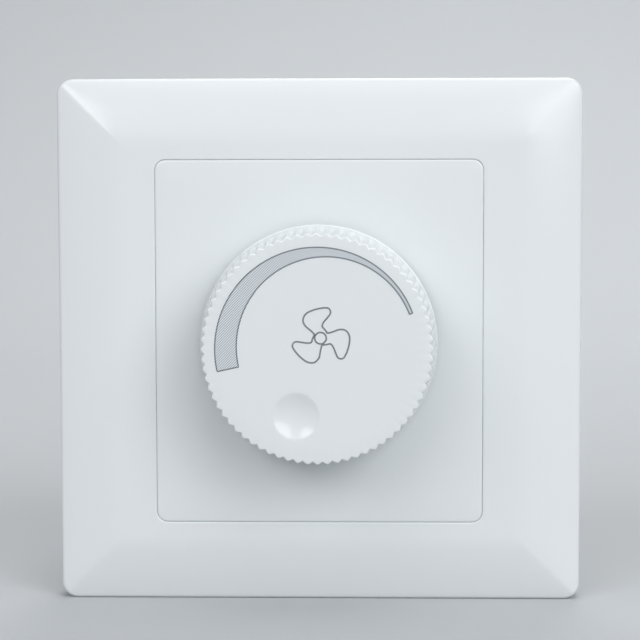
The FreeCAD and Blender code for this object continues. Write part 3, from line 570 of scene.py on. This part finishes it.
def knob_skin(knob, ink):
    """The knob as rings round its axis: the face with its dimple, the rounded and fluted rim, the plain
    ring where the flutes run out, and the hollow underside. A ring's radius is its own less the tooth's
    depth times the share of fluting there; the face is lowered by a rounded bowl at the dimple."""
    turn = np.arange(knob.teeth * COLUMNS_PER_TOOTH) * 2 * math.pi / (knob.teeth * COLUMNS_PER_TOOTH)
    face = knob.front - ink.thick
    quarter = np.linspace(0, math.pi / 2, ROUND_ROWS)
    dimple_in = knob.dimple_offset - knob.dimple_radius - 2 * knob.edge
    dimple_out = knob.dimple_offset + knob.dimple_radius + 2 * knob.edge
    middle = np.linspace(0, dimple_in, MIDDLE_ROWS)
    smooth = np.concatenate([middle, np.linspace(dimple_in, dimple_out, DIMPLE_ROWS)[1:]])
    edge_radius = knob.front_radius - knob.edge * (1 - np.sin(quarter))
    edge_height = face - knob.edge * (1 - np.cos(quarter))
    down = np.linspace(0, 1, RIM_ROWS)[1:]
    ring_top = knob.base + knob.ring_height
    tooth_end = knob.base_radius - knob.ring_step
    side_radius = knob.front_radius + (tooth_end - knob.front_radius) * down
    side_height = edge_height[-1] + (ring_top - edge_height[-1]) * down
    fade = np.clip((down - knob.run_out) / (1 - knob.run_out), 0, 1)
    ring_radius = tooth_end + knob.ring_step * np.sin(quarter[1:])
    ring_height = ring_top - knob.ring_step * (1 - np.cos(quarter[1:]))
    foot_radius = knob.base_radius - knob.edge * (1 - np.cos(quarter))
    foot_height = knob.base + knob.edge * (1 - np.sin(quarter))
    ceiling = knob.front - knob.cap
    hollow_base = knob.base_radius - knob.tooth_depth - knob.wall
    hollow_front = knob.front_radius - knob.tooth_depth - knob.wall
    hollow_radius = np.array([hollow_base, hollow_front, hollow_front / 2, 0.0])
    hollow_height = np.array([knob.base, ceiling, ceiling, ceiling])
    radius = np.concatenate([smooth, edge_radius, side_radius, ring_radius, foot_radius, hollow_radius])
    height = np.concatenate([
        np.full_like(smooth, face), edge_height, side_height, ring_height, foot_height, hollow_height])
    fading = 1 - fade ** 2 * (3 - 2 * fade)
    plain = np.zeros(len(ring_radius) + len(foot_radius) + len(hollow_radius))
    fluted = np.concatenate([0 * smooth, np.ones_like(edge_radius), fading, plain])
    cut = knob.tooth_depth * (1 - tooth_height(turn, knob.teeth))
    ring = radius[:, None] - fluted[:, None] * cut[None, :]
    x = ring * np.cos(turn)
    y = ring * np.sin(turn)
    reach = np.hypot(x, y + knob.dimple_offset) / knob.dimple_radius
    bowl = knob.dimple_depth * (1 - reach ** 2)
    # The bowl's edge is rounded, and the trace that this leaves on the face is taken off again
    trace = knob.dimple_edge ** 2 / (4 * MM)
    bowl = (bowl + np.sqrt(bowl ** 2 + knob.dimple_edge ** 2)) / 2 - trace
    on_face = np.zeros_like(radius)
    on_face[:len(smooth)] = 1
    z = height[:, None] - on_face[:, None] * np.maximum(bowl, 0)
    return lattice(np.stack([x, y, z], axis=-1), False, True)


def bore_radius(turn, knob):
    """Radius of the D-shaped bore at an angle: round, cut by a flat that faces the dimple."""
    towards_flat = np.maximum(-np.sin(turn), 1e-3)
    return np.minimum(knob.bore, knob.bore_flat / towards_flat)


def knob_inside(knob):
    """The boss with its slit and D-shaped bore, the ribs and the pad behind the dimple, each closed."""
    ceiling = knob.front - knob.cap
    sunk = ceiling + INSIDE_OVERLAP
    slit_top = knob.boss_end + knob.slit_depth
    turn = np.linspace(0, 2 * math.pi, BOSS_STEPS, endpoint=False)
    bore = bore_radius(turn, knob)
    radius = np.stack([np.full_like(turn, knob.boss_radius)] * 2 + [bore] * 2)
    height = np.array([slit_top, sunk, sunk, slit_top])[:, None] + 0 * radius
    boss = np.stack([radius * np.cos(turn), radius * np.sin(turn), height], axis=-1)
    shapes = [lattice(boss, True, True)]
    half = knob.slit_width / 2
    outer_start = math.asin(half / knob.boss_radius)
    inner_start = math.asin(half / knob.bore)
    for base in (0, math.pi):
        outer = base + np.linspace(outer_start, math.pi - outer_start, BOSS_STEPS // 2)
        inner = base + np.linspace(math.pi - inner_start, inner_start, BOSS_STEPS // 2)
        reach = np.concatenate([np.full_like(outer, knob.boss_radius), bore_radius(inner, knob)])
        both = np.concatenate([outer, inner])
        outline = np.stack([reach * np.cos(both), reach * np.sin(both)], axis=-1)
        shapes.append(prism(outline, knob.boss_end, slit_top + INSIDE_OVERLAP))
    rib_end = knob.front_radius - knob.tooth_depth - knob.wall + INSIDE_OVERLAP
    rib_start = knob.boss_radius - INSIDE_OVERLAP
    rib_half = knob.rib_thick / 2
    outline = np.array([
        (rib_start, -rib_half), (rib_end, -rib_half), (rib_end, rib_half), (rib_start, rib_half)])
    rib = prism(outline, ceiling - knob.rib_height, sunk)
    shapes += [spun(rib, 2 * math.pi * (step + 0.5) / knob.ribs) for step in range(knob.ribs)]
    pad = knob.dimple_radius + knob.pad_wall
    outline = np.stack([pad * np.cos(turn), pad * np.sin(turn) - knob.dimple_offset], axis=-1)
    shapes.append(prism(outline, ceiling - knob.dimple_depth, sunk))
    return shapes


def strip(left, right, low, high, closed):
    """A thin band of ink between two edge lines, with its ends closed where it isn't a loop."""
    count = len(left)
    edges = np.stack([left, left, right, right])
    height = np.array([low, high, high, low])[:, None] + np.zeros((1, count))
    corners, faces = lattice(np.concatenate([edges, height[..., None]], axis=-1), True, closed)
    faces = faces.tolist()
    if not closed:
        first = np.arange(4) * count
        faces += [first.tolist(), (first + count - 1).tolist()]
    return corners, faces


def ribbon(path, width, low, high):
    """A closed line of ink: the path moved half the width to each side along its normals."""
    along = np.roll(path, -1, axis=0) - np.roll(path, 1, axis=0)
    along /= np.linalg.norm(along, axis=1, keepdims=True)
    aside = np.stack([-along[:, 1], along[:, 0]], axis=-1) * width / 2
    return strip(path + aside, path - aside, low, high, True)


def smooth_loop(points, steps):
    """A closed curve through points: on each span a cubic whose end slopes follow the two neighbours."""
    points = np.asarray(points, float)
    share = np.linspace(0, 1, steps, endpoint=False)[None, :, None]
    before, start, end, after = (np.roll(points, shift, axis=0)[:, None, :] for shift in (1, 0, -1, -2))
    slope_start = (end - before) / 2
    slope_end = (after - start) / 2
    bend = 3 * (end - start) - 2 * slope_start - slope_end
    twist = 2 * (start - end) + slope_start + slope_end
    return (start + slope_start * share + bend * share ** 2 + twist * share ** 3).reshape(-1, 2)


def polar(radius, turn):
    """Points at a distance and an angle clockwise from the top."""
    return np.stack([radius * np.sin(turn), radius * np.cos(turn)], axis=-1)


def scale_edges(ink, inset):
    """The scale's outer and inner edge, both at the same angles: a circle about the knob's axis, and a
    line inside it at a distance that falls from the wide to the narrow end as half a cosine wave."""
    share = np.linspace(0, 1, SCALE_STEPS)
    turn = ink.wide_end + (ink.narrow_end - ink.wide_end) * share
    width = ink.narrow_width + (ink.wide_width - ink.narrow_width) * (1 + np.cos(math.pi * share)) / 2
    return polar(ink.scale_radius - inset + 0 * turn, turn), polar(ink.scale_radius - width + inset, turn)


# Materials

def add_node(material, kind, inputs=None, **settings):
    """Adds one node with its settings, and sets or links its inputs."""
    tree = material.node_tree
    node = tree.nodes.new(kind)
    for key, value in settings.items():
        setattr(node, key, value)
    for socket, value in (inputs or {}).items():
        if isinstance(value, bpy.types.NodeSocket):
            tree.links.new(value, node.inputs[socket])
        else:
            node.inputs[socket].default_value = value
    return node


def shaded(value, share):
    """A colour made darker or lighter by a share."""
    return (*[min(part * share, 1.0) for part in value[:3]], 1.0)


def new_material(name):
    """An empty node material."""
    material = bpy.data.materials.new(name)
    material.use_nodes = True
    material.node_tree.nodes.clear()
    return material


def grained(name, base, grain, mottle, depth, rough, spread=0.05, stretch=(1, 1, 1), shader=None):
    """A material with a fine surface grain and a faint change of tone.

    grain and mottle are the sizes of the grain and of the patches of tone, depth is the height of the
    grain, rough the lowest and highest roughness, spread the share by which the tone changes, and stretch
    the grain's run."""
    material = new_material(name)
    place = add_node(material, "ShaderNodeTexCoord").outputs["Object"]
    run = add_node(material, "ShaderNodeMapping", {"Vector": place, "Scale": stretch}).outputs["Vector"]
    fine = add_node(material, "ShaderNodeTexNoise", {"Vector": run, "Scale": 1 / grain, "Detail": 3.0})
    broad = add_node(material, "ShaderNodeTexNoise", {"Vector": place, "Scale": 1 / mottle, "Detail": 2.0})
    darker = shaded(base, 1 - spread)
    lighter = shaded(base, 1 + spread)
    tone = add_node(
        material, "ShaderNodeMix", {MIX_SHARE: broad.outputs["Fac"], MIX_A: darker, MIX_B: lighter},
        data_type="RGBA")
    matte = add_node(
        material, "ShaderNodeMapRange",
        {"Value": fine.outputs["Fac"], "To Min": rough[0], "To Max": rough[1]})
    bump = add_node(
        material, "ShaderNodeBump", {"Height": fine.outputs["Fac"], "Strength": 1.0, "Distance": depth})
    end_material(material, tone.outputs[MIX_RESULT], {
        "Roughness": matte.outputs["Result"], "Normal": bump.outputs["Normal"], **(shader or {})})
    return material


def screened(name, line, gap, ink):
    """Screen-printed ink: lines of one tone between lines of another, at the print's own spacing."""
    material = new_material(name)
    place = add_node(material, "ShaderNodeTexCoord").outputs["Object"]
    run = add_node(material, "ShaderNodeMapping", {"Vector": place, "Rotation": (0, ink.screen_angle, 0)})
    density = WAVE_SPACING / ink.screen
    wave = add_node(
        material, "ShaderNodeTexWave",
        {"Vector": run.outputs["Vector"], "Scale": density, "Distortion": 0.6, "Detail": 1.0},
        bands_direction="X")
    tone = add_node(
        material, "ShaderNodeMix", {MIX_SHARE: wave.outputs["Fac"], MIX_A: tuple(line), MIX_B: tuple(gap)},
        data_type="RGBA")
    end_material(material, tone.outputs[MIX_RESULT], {"Roughness": 0.5, "IOR": 1.5})
    return material


def end_material(material, tone, inputs):
    """Gives a material its shader and output."""
    shader = add_node(material, "ShaderNodeBsdfPrincipled", {"Base Color": tone, **inputs})
    add_node(material, "ShaderNodeOutputMaterial", {"Surface": shader.outputs["BSDF"]})


def seen(holder):
    """A share that is 1 for what the eye sees, directly or in a gloss, and 0 for light thrown back."""
    path = add_node(holder, "ShaderNodeLightPath").outputs
    share = path["Is Camera Ray"]
    for ray in ("Is Glossy Ray", "Is Transmission Ray"):
        share = add_node(holder, "ShaderNodeMath", {0: share, 1: path[ray]}, operation="ADD").outputs[0]
    return share


def backdrop_paper(finish):
    """Matt paper on a roll: an even pale grey with no gloss."""
    material = new_material("Matt paper backdrop")
    place = add_node(material, "ShaderNodeTexCoord").outputs["Object"]
    patch = 60 * MM
    spread = 0.01
    cloud = add_node(material, "ShaderNodeTexNoise", {"Vector": place, "Scale": 1 / patch, "Detail": 2.0})
    darker = shaded(finish.floor, 1 - spread)
    lighter = shaded(finish.floor, 1 + spread)
    pale = add_node(
        material, "ShaderNodeMix", {MIX_SHARE: cloud.outputs["Fac"], MIX_A: darker, MIX_B: lighter},
        data_type="RGBA")
    tone = add_node(
        material, "ShaderNodeMix",
        {MIX_SHARE: seen(material), MIX_A: tuple(finish.bounce), MIX_B: pale.outputs[MIX_RESULT]},
        data_type="RGBA")
    end_material(material, tone.outputs[MIX_RESULT], {"Roughness": 0.95})
    return material


def room_light(stage, finish):
    """An even room: a faint light all round, and a pale grey beyond the backdrop."""
    world = bpy.data.worlds.new("Room light")
    world.use_nodes = True
    world.node_tree.nodes.clear()
    light = add_node(world, "ShaderNodeBackground", {"Color": linear("#FFFFFF"), "Strength": stage.world})
    view = add_node(world, "ShaderNodeBackground", {"Color": tuple(finish.room), "Strength": 1.0})
    both = add_node(
        world, "ShaderNodeMixShader",
        {0: seen(world), 1: light.outputs["Background"], 2: view.outputs["Background"]})
    add_node(world, "ShaderNodeOutputWorld", {"Surface": both.outputs["Shader"]})
    return world


def white_abs(finish):
    """Injection-moulded white ABS from a polished tool: a clear soft gloss over an even white."""
    made = bpy.data.materials.get(WHITE_ABS)
    if made:
        return made
    return grained(
        WHITE_ABS, tuple(finish.white), grain=0.45 * MM, mottle=14 * MM, depth=0.0008 * MM,
        rough=(0.12, 0.16), spread=0.006, shader={"IOR": 1.54})


METAL = {"Metallic": 1.0}
PLASTIC = {"IOR": 1.53}
EVEN = (1, 1, 1)

# Finishes of the nodes that keep their shape, by slot: name, colour, sizes of grain and patches and height
# of the grain in mm, roughness, change of tone, run of the grain, and what the shader takes besides. Grain
# that is too fine to show in the render is drawn coarser than it is.
FINISHES = {
    # Drawn and hardened wire: streaks along it and sharp glints
    "spring_steel": (
        "Bright spring steel", "#A2A4A8", 0.2, 4, 0.0006, (0.22, 0.34), 0.04, (1, 9, 1), METAL),
    # Turned on a lathe: fine rings round the shaft and a satin sheen
    "shaft_aluminium": (
        "Turned aluminium", "#C5C7CA", 0.25, 4, 0.001, (0.28, 0.42), 0.04, (0.2, 6, 0.2), METAL),
    # Electroplated: bright, slightly cloudy and cool grey
    "plated_zinc": ("Bright zinc plate", "#B9BCBF", 0.4, 3, 0.0008, (0.24, 0.4), 0.06, EVEN, METAL),
    # Pressed from resin-soaked paper: brown, faintly streaked and half matt
    "phenolic_paper": (
        "Phenolic paper laminate", "#A87642", 0.3, 5, 0.003, (0.4, 0.58), 0.12, (1, 1, 3), PLASTIC),
    # Moulded natural nylon: cream white and waxy
    "rotor_nylon": ("Moulded nylon", "#DDDAD0", 0.3, 5, 0.002, (0.42, 0.55), 0.03, EVEN, PLASTIC),
    # Stamped from strip: yellow with rolling streaks
    "contact_brass": ("Stamped brass", "#C9A55C", 0.3, 3, 0.001, (0.25, 0.4), 0.08, (4, 1, 1), METAL),
    # Hot dipped in tin: pale and softly bright
    "tinned_pins": ("Tinned copper", "#C6C7C8", 0.25, 2, 0.001, (0.3, 0.45), 0.06, (1, 3, 1), METAL),
    # Pressed with filler: near black, dry and a little speckled
    "black_phenolic": (
        "Moulded black phenolic", "#242425", 0.2, 4, 0.003, (0.42, 0.6), 0.1, EVEN, PLASTIC),
    # Electroplated screws: bright with a warm cast
    "plated_screws": ("Zinc plated steel", "#C0C0BB", 0.3, 2, 0.001, (0.26, 0.42), 0.07, EVEN, METAL),
    # Cold rolled: long faint lines along the sheet
    "aluminium_sheet": (
        "Rolled aluminium sheet", "#C9CBCD", 0.25, 6, 0.001, (0.3, 0.45), 0.05, (1, 1, 0.1), METAL),
    # Moulded box: flat yellow with a low sheen
    "capacitor_case": (
        "Moulded capacitor case", "#DDB04A", 0.25, 5, 0.002, (0.35, 0.5), 0.04, EVEN, PLASTIC),
    # Dipped and cured: glossy and slightly wavy
    "dipped_film": ("Dipped epoxy", "#3F7A45", 0.6, 3, 0.006, (0.15, 0.3), 0.08, EVEN, PLASTIC),
    # Pressed and fired powder: dark grey and dull
    "ferrite": ("Pressed ferrite", "#3B3C3E", 0.15, 2, 0.004, (0.5, 0.7), 0.12, EVEN, PLASTIC),
    # Varnished wire: red-brown metal with a clear gloss
    "enamelled_copper": (
        "Enamelled copper wire", "#B4652F", 0.3, 2, 0.001, (0.2, 0.32), 0.08, EVEN, METAL),
    # Lacquered by dipping: tan and half gloss
    "resistor_lacquer": (
        "Lacquered ceramic", "#CDB48A", 0.4, 3, 0.003, (0.25, 0.4), 0.06, EVEN, PLASTIC),
    # Lacquered glass bead: blue and clear in gloss
    "diac_glass": ("Lacquered glass", "#4E7FB8", 0.4, 2, 0.002, (0.12, 0.25), 0.06, EVEN, PLASTIC),
    # Moulded with glass fibre: dark grey with a dry grain
    "terminal_nylon": (
        "Moulded glass-filled nylon", "#46494C", 0.22, 5, 0.004, (0.42, 0.6), 0.08, EVEN, PLASTIC),
}


# Operators

class FAN_CONTROL_OT_cover_frame(bpy.types.Operator):
    """Builds the cover frame with its sloped sides, its hollow and its snap hooks"""
    bl_idname = "fan_control.cover_frame"
    bl_label = "Cover frame"

    def execute(self, context):
        settings = context.scene.fan_control
        plate = settings.plate
        hook_y = plate.height / 2 - plate.hook_inset
        root = plate.front - plate.wall + INSIDE_OVERLAP
        hooks = snap_hooks(plate.hook_x, hook_y, root, settings.hook)
        shapes = [cover_frame_shell(plate, settings.panel)] + hooks
        made = piece("cover_frame_moulding", shapes, white_abs(settings.finish))
        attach(made, "base")
        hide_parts("cover_frame")
        return {"FINISHED"}


class FAN_CONTROL_OT_centre_panel(bpy.types.Operator):
    """Builds the centre panel with its rounded edge, its skirt and its snap hooks"""
    bl_idname = "fan_control.centre_panel"
    bl_label = "Centre panel"

    def execute(self, context):
        settings = context.scene.fan_control
        plate = settings.plate
        panel = settings.panel
        hook_y = panel.height / 2 - panel.skirt / 2 - settings.hook.thick / 2
        root = plate.front - panel.wall + INSIDE_OVERLAP
        hooks = snap_hooks(panel.hook_x, hook_y, root, settings.hook)
        shapes = [centre_panel_shell(plate, panel)] + hooks
        made = piece("centre_panel_moulding", shapes, white_abs(settings.finish))
        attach(made, "base")
        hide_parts("centre_panel")
        return {"FINISHED"}


class FAN_CONTROL_OT_knob(bpy.types.Operator):
    """Builds the fluted knob with its finger dimple, its hollow, boss and ribs"""
    bl_idname = "fan_control.knob"
    bl_label = "Knob"

    def execute(self, context):
        settings = context.scene.fan_control
        knob = settings.knob
        shapes = [knob_skin(knob, settings.ink)] + knob_inside(knob)
        shapes = [spun(shape, knob.rest) for shape in shapes]
        made = piece("knob_moulding", shapes, white_abs(settings.finish))
        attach(made, "knob")
        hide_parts("knob")
        return {"FINISHED"}


class FAN_CONTROL_OT_scale(bpy.types.Operator):
    """Prints the tapered scale on the knob: its tinted fill and its outline"""
    bl_idname = "fan_control.scale"
    bl_label = "Scale print"

    def execute(self, context):
        settings = context.scene.fan_control
        ink = settings.ink
        finish = settings.finish
        top = settings.knob.front
        low = top - 2 * ink.thick
        outer, inner = scale_edges(ink, ink.line / 2)
        fill_shape = strip(outer, inner, low, top - ink.thick / 2, False)
        fill_ink = screened("Scale tint ink", finish.scale_line, finish.scale, ink)
        fill = piece("scale_tint", [fill_shape], fill_ink)
        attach(fill, "knob")
        outer, inner = scale_edges(ink, 0)
        ends = np.linspace(0, 1, SCALE_END_STEPS + 1)[1:-1, None]
        narrow = outer[-1] * (1 - ends) + inner[-1] * ends
        wide = inner[0] * (1 - ends) + outer[0] * ends
        path = np.concatenate([outer, narrow, inner[::-1], wide])
        line_ink = screened("Outline ink", finish.ink, finish.ink_gap, ink)
        line = piece("scale_outline", [ribbon(path, ink.line, low, top)], line_ink)
        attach(line, "knob")
        return {"FINISHED"}


class FAN_CONTROL_OT_fan_sign(bpy.types.Operator):
    """Prints the fan sign on the knob: a hub and three outlined blades"""
    bl_idname = "fan_control.fan_sign"
    bl_label = "Fan sign"

    def execute(self, context):
        settings = context.scene.fan_control
        ink = settings.ink
        top = settings.knob.front
        low = top - 2 * ink.thick
        reach, turn = np.array(BLADE).T
        turn = np.radians(turn)
        reach = reach * MM
        middle = np.array([ink.sign_x, ink.sign_y])
        third = 2 * math.pi / BLADE_COUNT
        blades = np.concatenate([polar(reach, turn + step * third) for step in range(BLADE_COUNT)])
        shapes = [ribbon(smooth_loop(blades, BLADE_STEPS) + middle, ink.sign_line, low, top)]
        circle = np.linspace(0, 2 * math.pi, BOSS_STEPS, endpoint=False)
        hub = polar(ink.hub + 0 * circle, circle) + middle + np.array([ink.hub_x, ink.hub_y])
        shapes.append(ribbon(hub, ink.sign_line, low, top))
        made = piece("fan_sign", shapes, bpy.data.materials["Outline ink"])
        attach(made, "knob")
        return {"FINISHED"}


class FAN_CONTROL_OT_finishes(bpy.types.Operator):
    """Gives every node that keeps its shape the finish of its material slot"""
    bl_idname = "fan_control.finishes"
    bl_label = "Finishes"

    def execute(self, context):
        finish = context.scene.fan_control.finish
        made = {"white_abs": white_abs(finish)}
        # Moulded ABS from a spark-eroded tool: a dry, even grain that breaks the gloss
        made["bracket_plastic"] = grained(
            "Grained white ABS", tuple(finish.bracket), grain=0.3 * MM, mottle=9 * MM, depth=0.006 * MM,
            rough=(0.42, 0.56), spread=0.015, shader=PLASTIC)
        made["housing_plastic"] = grained(
            "Grained ABS housing", tuple(finish.housing), grain=0.3 * MM, mottle=9 * MM, depth=0.008 * MM,
            rough=(0.46, 0.6), spread=0.02, shader=PLASTIC)
        for slot, (name, code, grain, mottle, depth, rough, spread, stretch, shader) in FINISHES.items():
            made[slot] = grained(
                name, linear(code), grain * MM, mottle * MM, depth * MM, rough, spread, stretch, shader)
        for row in frame["record"]["subparts"]:
            node = frame["nodes"][row["node"]]
            node.data.materials.clear()
            node.data.materials.append(made[row["material_slot"]])
        return {"FINISHED"}


class FAN_CONTROL_OT_stage(bpy.types.Operator):
    """Sets up the floor, the backdrop, the softboxes and the camera"""
    bl_idname = "fan_control.stage"
    bl_label = "Stage"

    def execute(self, context):
        scene = context.scene
        settings = scene.fan_control
        stage = settings.stage
        ground = cad_box[0].z
        bend = np.linspace(0, math.pi / 2, BACKDROP_STEPS)
        bend_run = BACKDROP_PLACE - BACKDROP_BEND * (1 - np.sin(bend))
        bend_rise = BACKDROP_BEND * (1 - np.cos(bend))
        run = np.concatenate([[FLOOR_FRONT], bend_run, [BACKDROP_PLACE]])
        rise = np.concatenate([[0], bend_rise, [BACKDROP_HEIGHT]]) + ground
        sides = np.array([-FLOOR_HALF, FLOOR_HALF])
        points = np.stack(np.broadcast_arrays(sides, run[:, None], rise[:, None]), axis=-1)
        corners, faces = lattice(points, False, False)
        mesh = bpy.data.meshes.new("floor")
        mesh.from_pydata(corners.tolist(), [], faces[:, ::-1].tolist())
        mesh.shade_smooth()
        mesh.materials.append(backdrop_paper(settings.finish))
        floor = bpy.data.objects.new("floor", mesh)
        scene.collection.objects.link(floor)
        for name, setting, off_axis, clockwise, distance, width in SOFTBOXES:
            light = bpy.data.lights.new(name, "AREA")
            light.shape = "DISK"
            light.size = width
            light.energy = getattr(stage, setting)
            lamp = bpy.data.objects.new(name, light)
            tilt = math.radians(off_axis)
            turn = math.radians(clockwise)
            aim = Vector((
                math.sin(tilt) * math.sin(turn), -math.cos(tilt), math.sin(tilt) * math.cos(turn)))
            lamp.location = aim * distance
            lamp.rotation_euler = (-aim).to_track_quat("-Z", "Y").to_euler()
            scene.collection.objects.link(lamp)
        scene.world = room_light(stage, settings.finish)
        camera = bpy.data.cameras.new("camera")
        camera.lens = stage.lens
        camera.sensor_width = SENSOR
        camera.clip_start = CLIP_START
        eye = bpy.data.objects.new("camera", camera)
        eye.location = (stage.camera_x, stage.camera_y, stage.camera_z)
        eye.rotation_euler = (math.pi / 2 + stage.pitch, stage.roll, stage.yaw)
        scene.collection.objects.link(eye)
        scene.camera = eye
        scene.view_settings.view_transform = "Standard"
        return {"FINISHED"}


class FAN_CONTROL_PT_panel(bpy.types.Panel):
    """Lists the pieces of the fan speed control"""
    bl_idname = "FAN_CONTROL_PT_panel"
    bl_label = "Fan speed control"
    bl_space_type = "VIEW_3D"
    bl_region_type = "UI"
    bl_category = "Fan control"

    def draw(self, context):
        for operator in OPERATORS:
            self.layout.operator(operator.bl_idname)


GROUPS = (
    PlateSizes, PanelSizes, HookSizes, KnobSizes, PrintSizes, FinishColours, StageSettings,
    FanControlSettings)
OPERATORS = (
    FAN_CONTROL_OT_finishes, FAN_CONTROL_OT_cover_frame, FAN_CONTROL_OT_centre_panel, FAN_CONTROL_OT_knob,
    FAN_CONTROL_OT_scale, FAN_CONTROL_OT_fan_sign, FAN_CONTROL_OT_stage)
CLASSES = GROUPS + OPERATORS + (FAN_CONTROL_PT_panel,)


def register():
    for kind in CLASSES:
        bpy.utils.register_class(kind)
    bpy.types.Scene.fan_control = PointerProperty(type=FanControlSettings)


def unregister():
    del bpy.types.Scene.fan_control
    for kind in reversed(CLASSES):
        bpy.utils.unregister_class(kind)


def main():
    register()
    bpy.ops.fan_control.finishes()
    bpy.ops.fan_control.cover_frame()
    bpy.ops.fan_control.centre_panel()
    bpy.ops.fan_control.knob()
    bpy.ops.fan_control.scale()
    bpy.ops.fan_control.fan_sign()
    bpy.ops.fan_control.stage()


if __name__ == "__main__":
    main()
